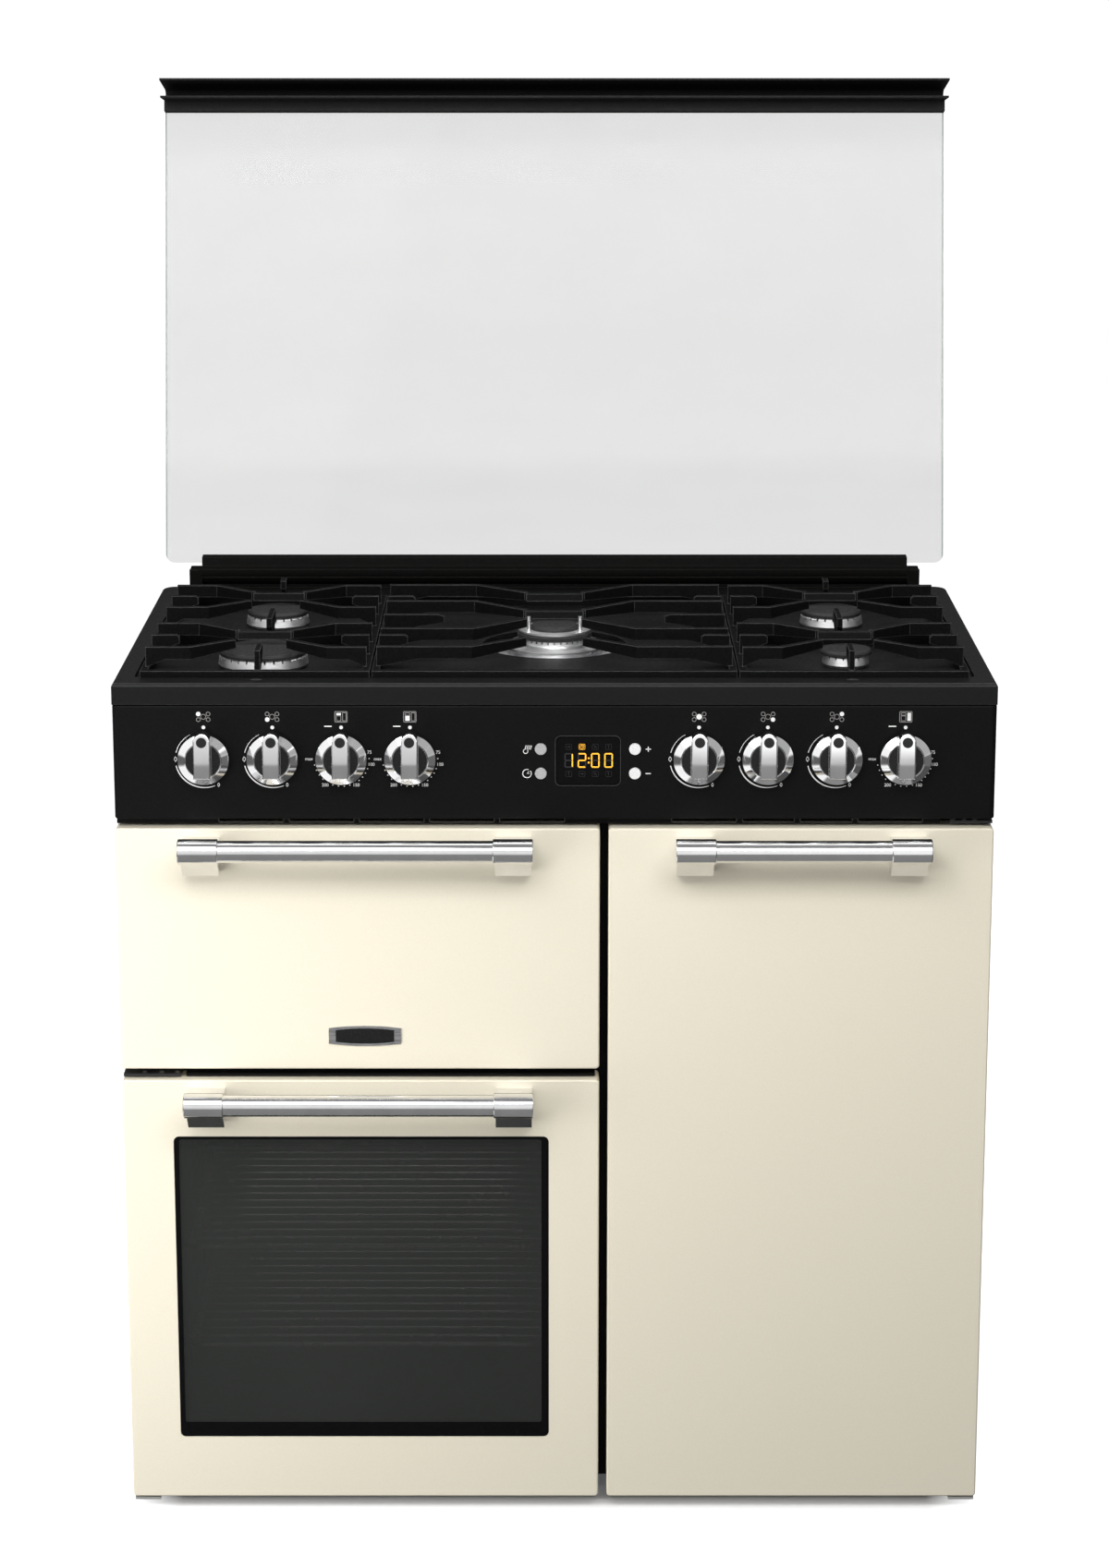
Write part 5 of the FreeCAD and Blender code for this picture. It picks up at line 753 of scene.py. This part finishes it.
# Rubber buffers on the hob's rim: low ovals, a dome of height rise * (1 - r^2) stretched across, sunk a little.
bufferLook = {"spots": ((-0.304, 0.020), (0.304, 0.020), (-0.304, 0.474), (0.304, 0.474), (0.0, 0.474)),
              "wide": 0.0065, "deep": 0.0030, "rise": 0.0009, "seat": 0.905, "sink": 0.0004, "rings": 6,
              "points": 24}
out, around = np.meshgrid(np.linspace(1, 0, bufferLook["rings"]),
                          np.linspace(0, 2 * np.pi, bufferLook["points"], endpoint=False), indexing="ij")
bottom = bufferLook["seat"] - bufferLook["sink"]
domes = []
for x, back in bufferLook["spots"]:
    top = np.stack([x + bufferLook["wide"] * out * np.cos(around),
                    frontY + back + bufferLook["deep"] * out * np.sin(around),
                    bufferLook["seat"] + bufferLook["rise"] * (1 - out ** 2)], -1)
    foot = top[:1] * [1, 1, 0] + [0, 0, bottom]
    middle = np.broadcast_to([x, frontY + back, bottom], foot.shape)
    dome = np.concatenate([middle, foot, top])
    domes.append((dome.reshape(-1, 3), quads(*dome.shape[:2], False, True)))
makePiece("hob_buffers", domes, paint["sealRubber"], "cabinet")
print("badge, window border and buffers made")

# Screws: a domed head with a round recess pressed in, its profile in shares of the radius and of the rise.
screwLook = {"profile": ((0, 0), (1, 0), (1, 0.35), (0.8, 0.8), (0.45, 1), (0.32, 0.35), (0, 0.2)), "round": 16,
             "hinge": [(-0.4272, 0.0135, 0.4877), (-0.4097, 0.0135, 0.4877), (-0.3934, 0.0135, 0.4877),
                       (0.4085, 0.0125, 0.7600), (0.4200, 0.0125, 0.7600), (0.4310, 0.0125, 0.7600)],
             "hingeSize": (0.0028, 0.0009), "rearSize": (0.0042, 0.0020),
             "rearX": (-0.436, -0.150, 0.150, 0.436), "rearZ": (0.045, 0.855), "sideX": (-0.436, 0.436),
             "sideZ": (0.315, 0.585)}


# A screw's head: (r, h) = profile * (radius, rise), turned round its axis.
def screwHead(place, axis, size):
    return turned(np.array(screwLook["profile"]) * size, place, axis, screwLook["round"])


hingeScrews = [screwHead((x, frontY + back, z), (0, 0, 1), screwLook["hingeSize"])
               for x, back, z in screwLook["hinge"]]
makePiece("hinge_screws", hingeScrews, paint["screwZinc"], "cabinet")
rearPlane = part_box("cabinet_panels")[1].y
rearSpots = [(x, z) for x in screwLook["rearX"] for z in screwLook["rearZ"]]
rearSpots += [(x, z) for x in screwLook["sideX"] for z in screwLook["sideZ"]]
rearScrews = [screwHead((x, rearPlane, z), (0, 1, 0), screwLook["rearSize"]) for x, z in rearSpots]
makePiece("rear_panel_screws", rearScrews, paint["screwZinc"], "cabinet")
print("screws:", len(hingeScrews) + len(rearScrews))

# Stage: a white floor that turns up into a wall far behind; it takes faint shadows and gives the object no
# light. Its glow fades out under the cooker, between a half width and half depth and a little further out, a
# painted shadow under the cooker.
stageLook = {"half": 30.0, "front": -30.0, "wall": 14.0, "bend": 4.0, "top": 9.0, "light": (0.86, 0.86, 0.86),
             "dark": (0.84, 0.84, 0.84), "stops": (0.3, 0.7), "patch": 3.0, "rough": 0.7, "spec": 0.1,
             "steps": 24, "glow": 1.0, "shadeX": (0.40, 0.45), "shadeY": (0.27, 0.33)}
bend = np.linspace(0, np.pi / 2, stageLook["steps"])
rise = np.stack([stageLook["wall"] - stageLook["bend"] + stageLook["bend"] * np.sin(bend),
                 stageLook["bend"] * (1 - np.cos(bend))], -1)
path = np.concatenate([[(stageLook["front"], 0)], rise, [(stageLook["wall"], stageLook["top"])]])
sides = np.array([-stageLook["half"], stageLook["half"]])
floorPlaces = np.stack([np.broadcast_to(sides, (len(path), 2)), np.repeat(path[:, :1], 2, 1),
                        np.repeat(path[:, 1:], 2, 1)], -1)
floorMesh = bpy.data.meshes.new("studio_floor")
floorMesh.from_pydata(floorPlaces.reshape(-1, 3).tolist(), [], [f[::-1] for f in quads(len(path), 2)])
floorMesh.polygons.foreach_set("use_smooth", np.ones(len(floorMesh.polygons), bool))
bench = Bench("studioPaper")
paperStops = list(zip(stageLook["stops"], (stageLook["dark"], stageLook["light"])))
paper = bench.colours(bench.noise(stageLook["patch"]), paperStops)
bench.paint("Base Color", paper)
bench.paint("Emission Color", paper)
offCentre = {axis: bench.maths("ABSOLUTE", bench.axes()[axis], 0.0) for axis in "XY"}
# Painted shadow under the cooker: the floor's glow is taken away inside the footprint.
paintedShadow = bench.maths("MULTIPLY", bench.between(offCentre["X"], 1.0, 0.0, *stageLook["shadeX"]),
                    bench.between(offCentre["Y"], 1.0, 0.0, *stageLook["shadeY"]))
bench.paint("Emission Strength", bench.between(paintedShadow, stageLook["glow"], 0.0, 0.0, 1.0))
bench.paint("Roughness", stageLook["rough"])
bench.paint("Specular IOR Level", stageLook["spec"])
floorMesh.materials.append(bench.material)
studioFloor = bpy.data.objects.new("studio_floor", floorMesh)
studioFloor.visible_glossy = False
studioFloor.visible_diffuse = False
bpy.context.scene.collection.objects.link(studioFloor)

# Light, its power in watts: a soft key on the left, a broad one above the front, a low one on the left that
# leaves no gleam, a weak fill on the right, a strip overhead, one that looks back over the lid, and the oven's
# own lamp.
lightLook = {
    "key": {"place": (-0.80, -1.50, 1.90), "aim": (-0.25, -0.3, 0.65), "size": (1.1, 1.1), "power": 8},
    "above": {"place": (0.15, -1.90, 2.00), "aim": (0.10, -0.3, 0.60), "size": (1.8, 0.6), "power": 26},
    "lowLeft": {"place": (-0.95, -0.90, 0.48), "aim": (-0.35, -0.3, 0.45), "size": (0.8, 0.8), "power": 6.5,
                "gleam": False},
    "fill": {"place": (2.8, -3.0, 1.6), "aim": (0.1, -0.3, 0.5), "size": (1.6, 1.6), "power": 6},
    "overhead": {"place": (0.0, 0.75, 3.4), "aim": (0.0, 0.0, 0.6), "size": (3.2, 0.45), "power": 26},
    "wall": {"place": (0.0, 0.9, 3.6), "aim": (0.0, 2.4, 1.0), "size": (3.0, 3.0), "power": 36},
    "ovenLamp": {"place": (-0.20, -0.06, 0.395), "aim": (-0.20, -0.10, 0.1), "size": (0.30, 0.10),
                 "power": 0.13},
}
for lightName, look in lightLook.items():
    lamp = bpy.data.lights.new(lightName, "AREA")
    lamp.shape = "RECTANGLE"
    (lamp.size, lamp.size_y), lamp.energy = look["size"], look["power"]
    lampObject = bpy.data.objects.new(lightName, lamp)
    lampObject.location = look["place"]
    lampObject.visible_glossy = look.get("gleam", True)
    lampObject.rotation_euler = (Vector(look["aim"]) - Vector(look["place"])).to_track_quat("-Z", "Y").to_euler()
    bpy.context.scene.collection.objects.link(lampObject)

# Room: level by height of the direction, with a sharp line under the horizon, so that polished metal shows a
# light upper and a grey lower half. Patches lay walls over it in turn: level + inside * (patch's level -
# level), inside being 1 between its limits. They are white on the left, dark on the right, bright near the
# middle in front, dark at the rear. Seen past the floor's edge the room is white, and the light it gives matt
# surfaces is a share of what it shows.
roomLook = {
    "heights": [(0.0, 0.25), (0.380, 0.27), (0.384, 0.58), (0.475, 0.80), (0.55, 0.96), (0.68, 0.90), (0.84, 0.36),
                (1.0, 0.27)],
    "patches": [{"X": (-1.2, -0.45), "Z": (0.02, 0.80), "level": 1.0},
                {"X": (-1.2, -0.35), "Z": (-1.2, -0.44), "level": 1.0},
                {"X": (-1.2, -0.82), "Z": (-0.38, -0.04), "level": 0.12},
                {"X": (0.45, 1.2), "Z": (0.02, 0.80), "level": 0.42},
                {"X": (0.40, 1.2), "Z": (-0.42, 0.0), "level": 0.14},
                {"X": (0.30, 1.2), "Z": (-1.2, -0.42), "level": 0.08},
                {"X": (0.03, 0.42), "Y": (-1.2, -0.20), "Z": (-0.16, 0.70), "level": 1.15},
                {"Y": (0.08, 1.2), "level": 0.10}],
    "soft": 0.04, "spread": 0.39,
}
bench = Bench("studio_room", True)
facing = bench.axes()
heightStops = [(at, (grey, grey, grey)) for at, grey in roomLook["heights"]]
level = bench.colours(bench.between(facing["Z"], 0.0, 1.0, -1.0, 1.0), heightStops)
for patch in roomLook["patches"]:
    inside = 1.0
    for axis in [letter for letter in "XYZ" if letter in patch]:
        low, high = patch[axis]
        rising = bench.between(facing[axis], 0.0, 1.0, low - roomLook["soft"], low + roomLook["soft"])
        falling = bench.between(facing[axis], 1.0, 0.0, high - roomLook["soft"], high + roomLook["soft"])
        inside = bench.maths("MULTIPLY", inside, bench.maths("MULTIPLY", rising, falling))
    change = bench.maths("SUBTRACT", patch["level"], level)
    level = bench.maths("ADD", level, bench.maths("MULTIPLY", inside, change))
rays = bench.nodes.new("ShaderNodeLightPath").outputs
bench.paint("Color", bench.maths("MAXIMUM", level, rays["Is Camera Ray"]))
bench.paint("Strength", bench.between(rays["Is Diffuse Ray"], 1.0, roomLook["spread"], 0.0, 1.0))
bpy.context.scene.world = bench.material
bpy.context.scene.view_settings.view_transform = "Standard"

# Camera: where the photograph was taken from.
cameraLook = {"place": (0.0, -4.046, 1.710), "tilt": 76.333, "lens": 86.6}
camera = bpy.data.objects.new("camera", bpy.data.cameras.new("camera"))
camera.location = cameraLook["place"]
camera.rotation_euler = (math.radians(cameraLook["tilt"]), 0, 0)
camera.data.lens = cameraLook["lens"]
bpy.context.scene.collection.objects.link(camera)
bpy.context.scene.camera = camera
print("stage, light and camera set")
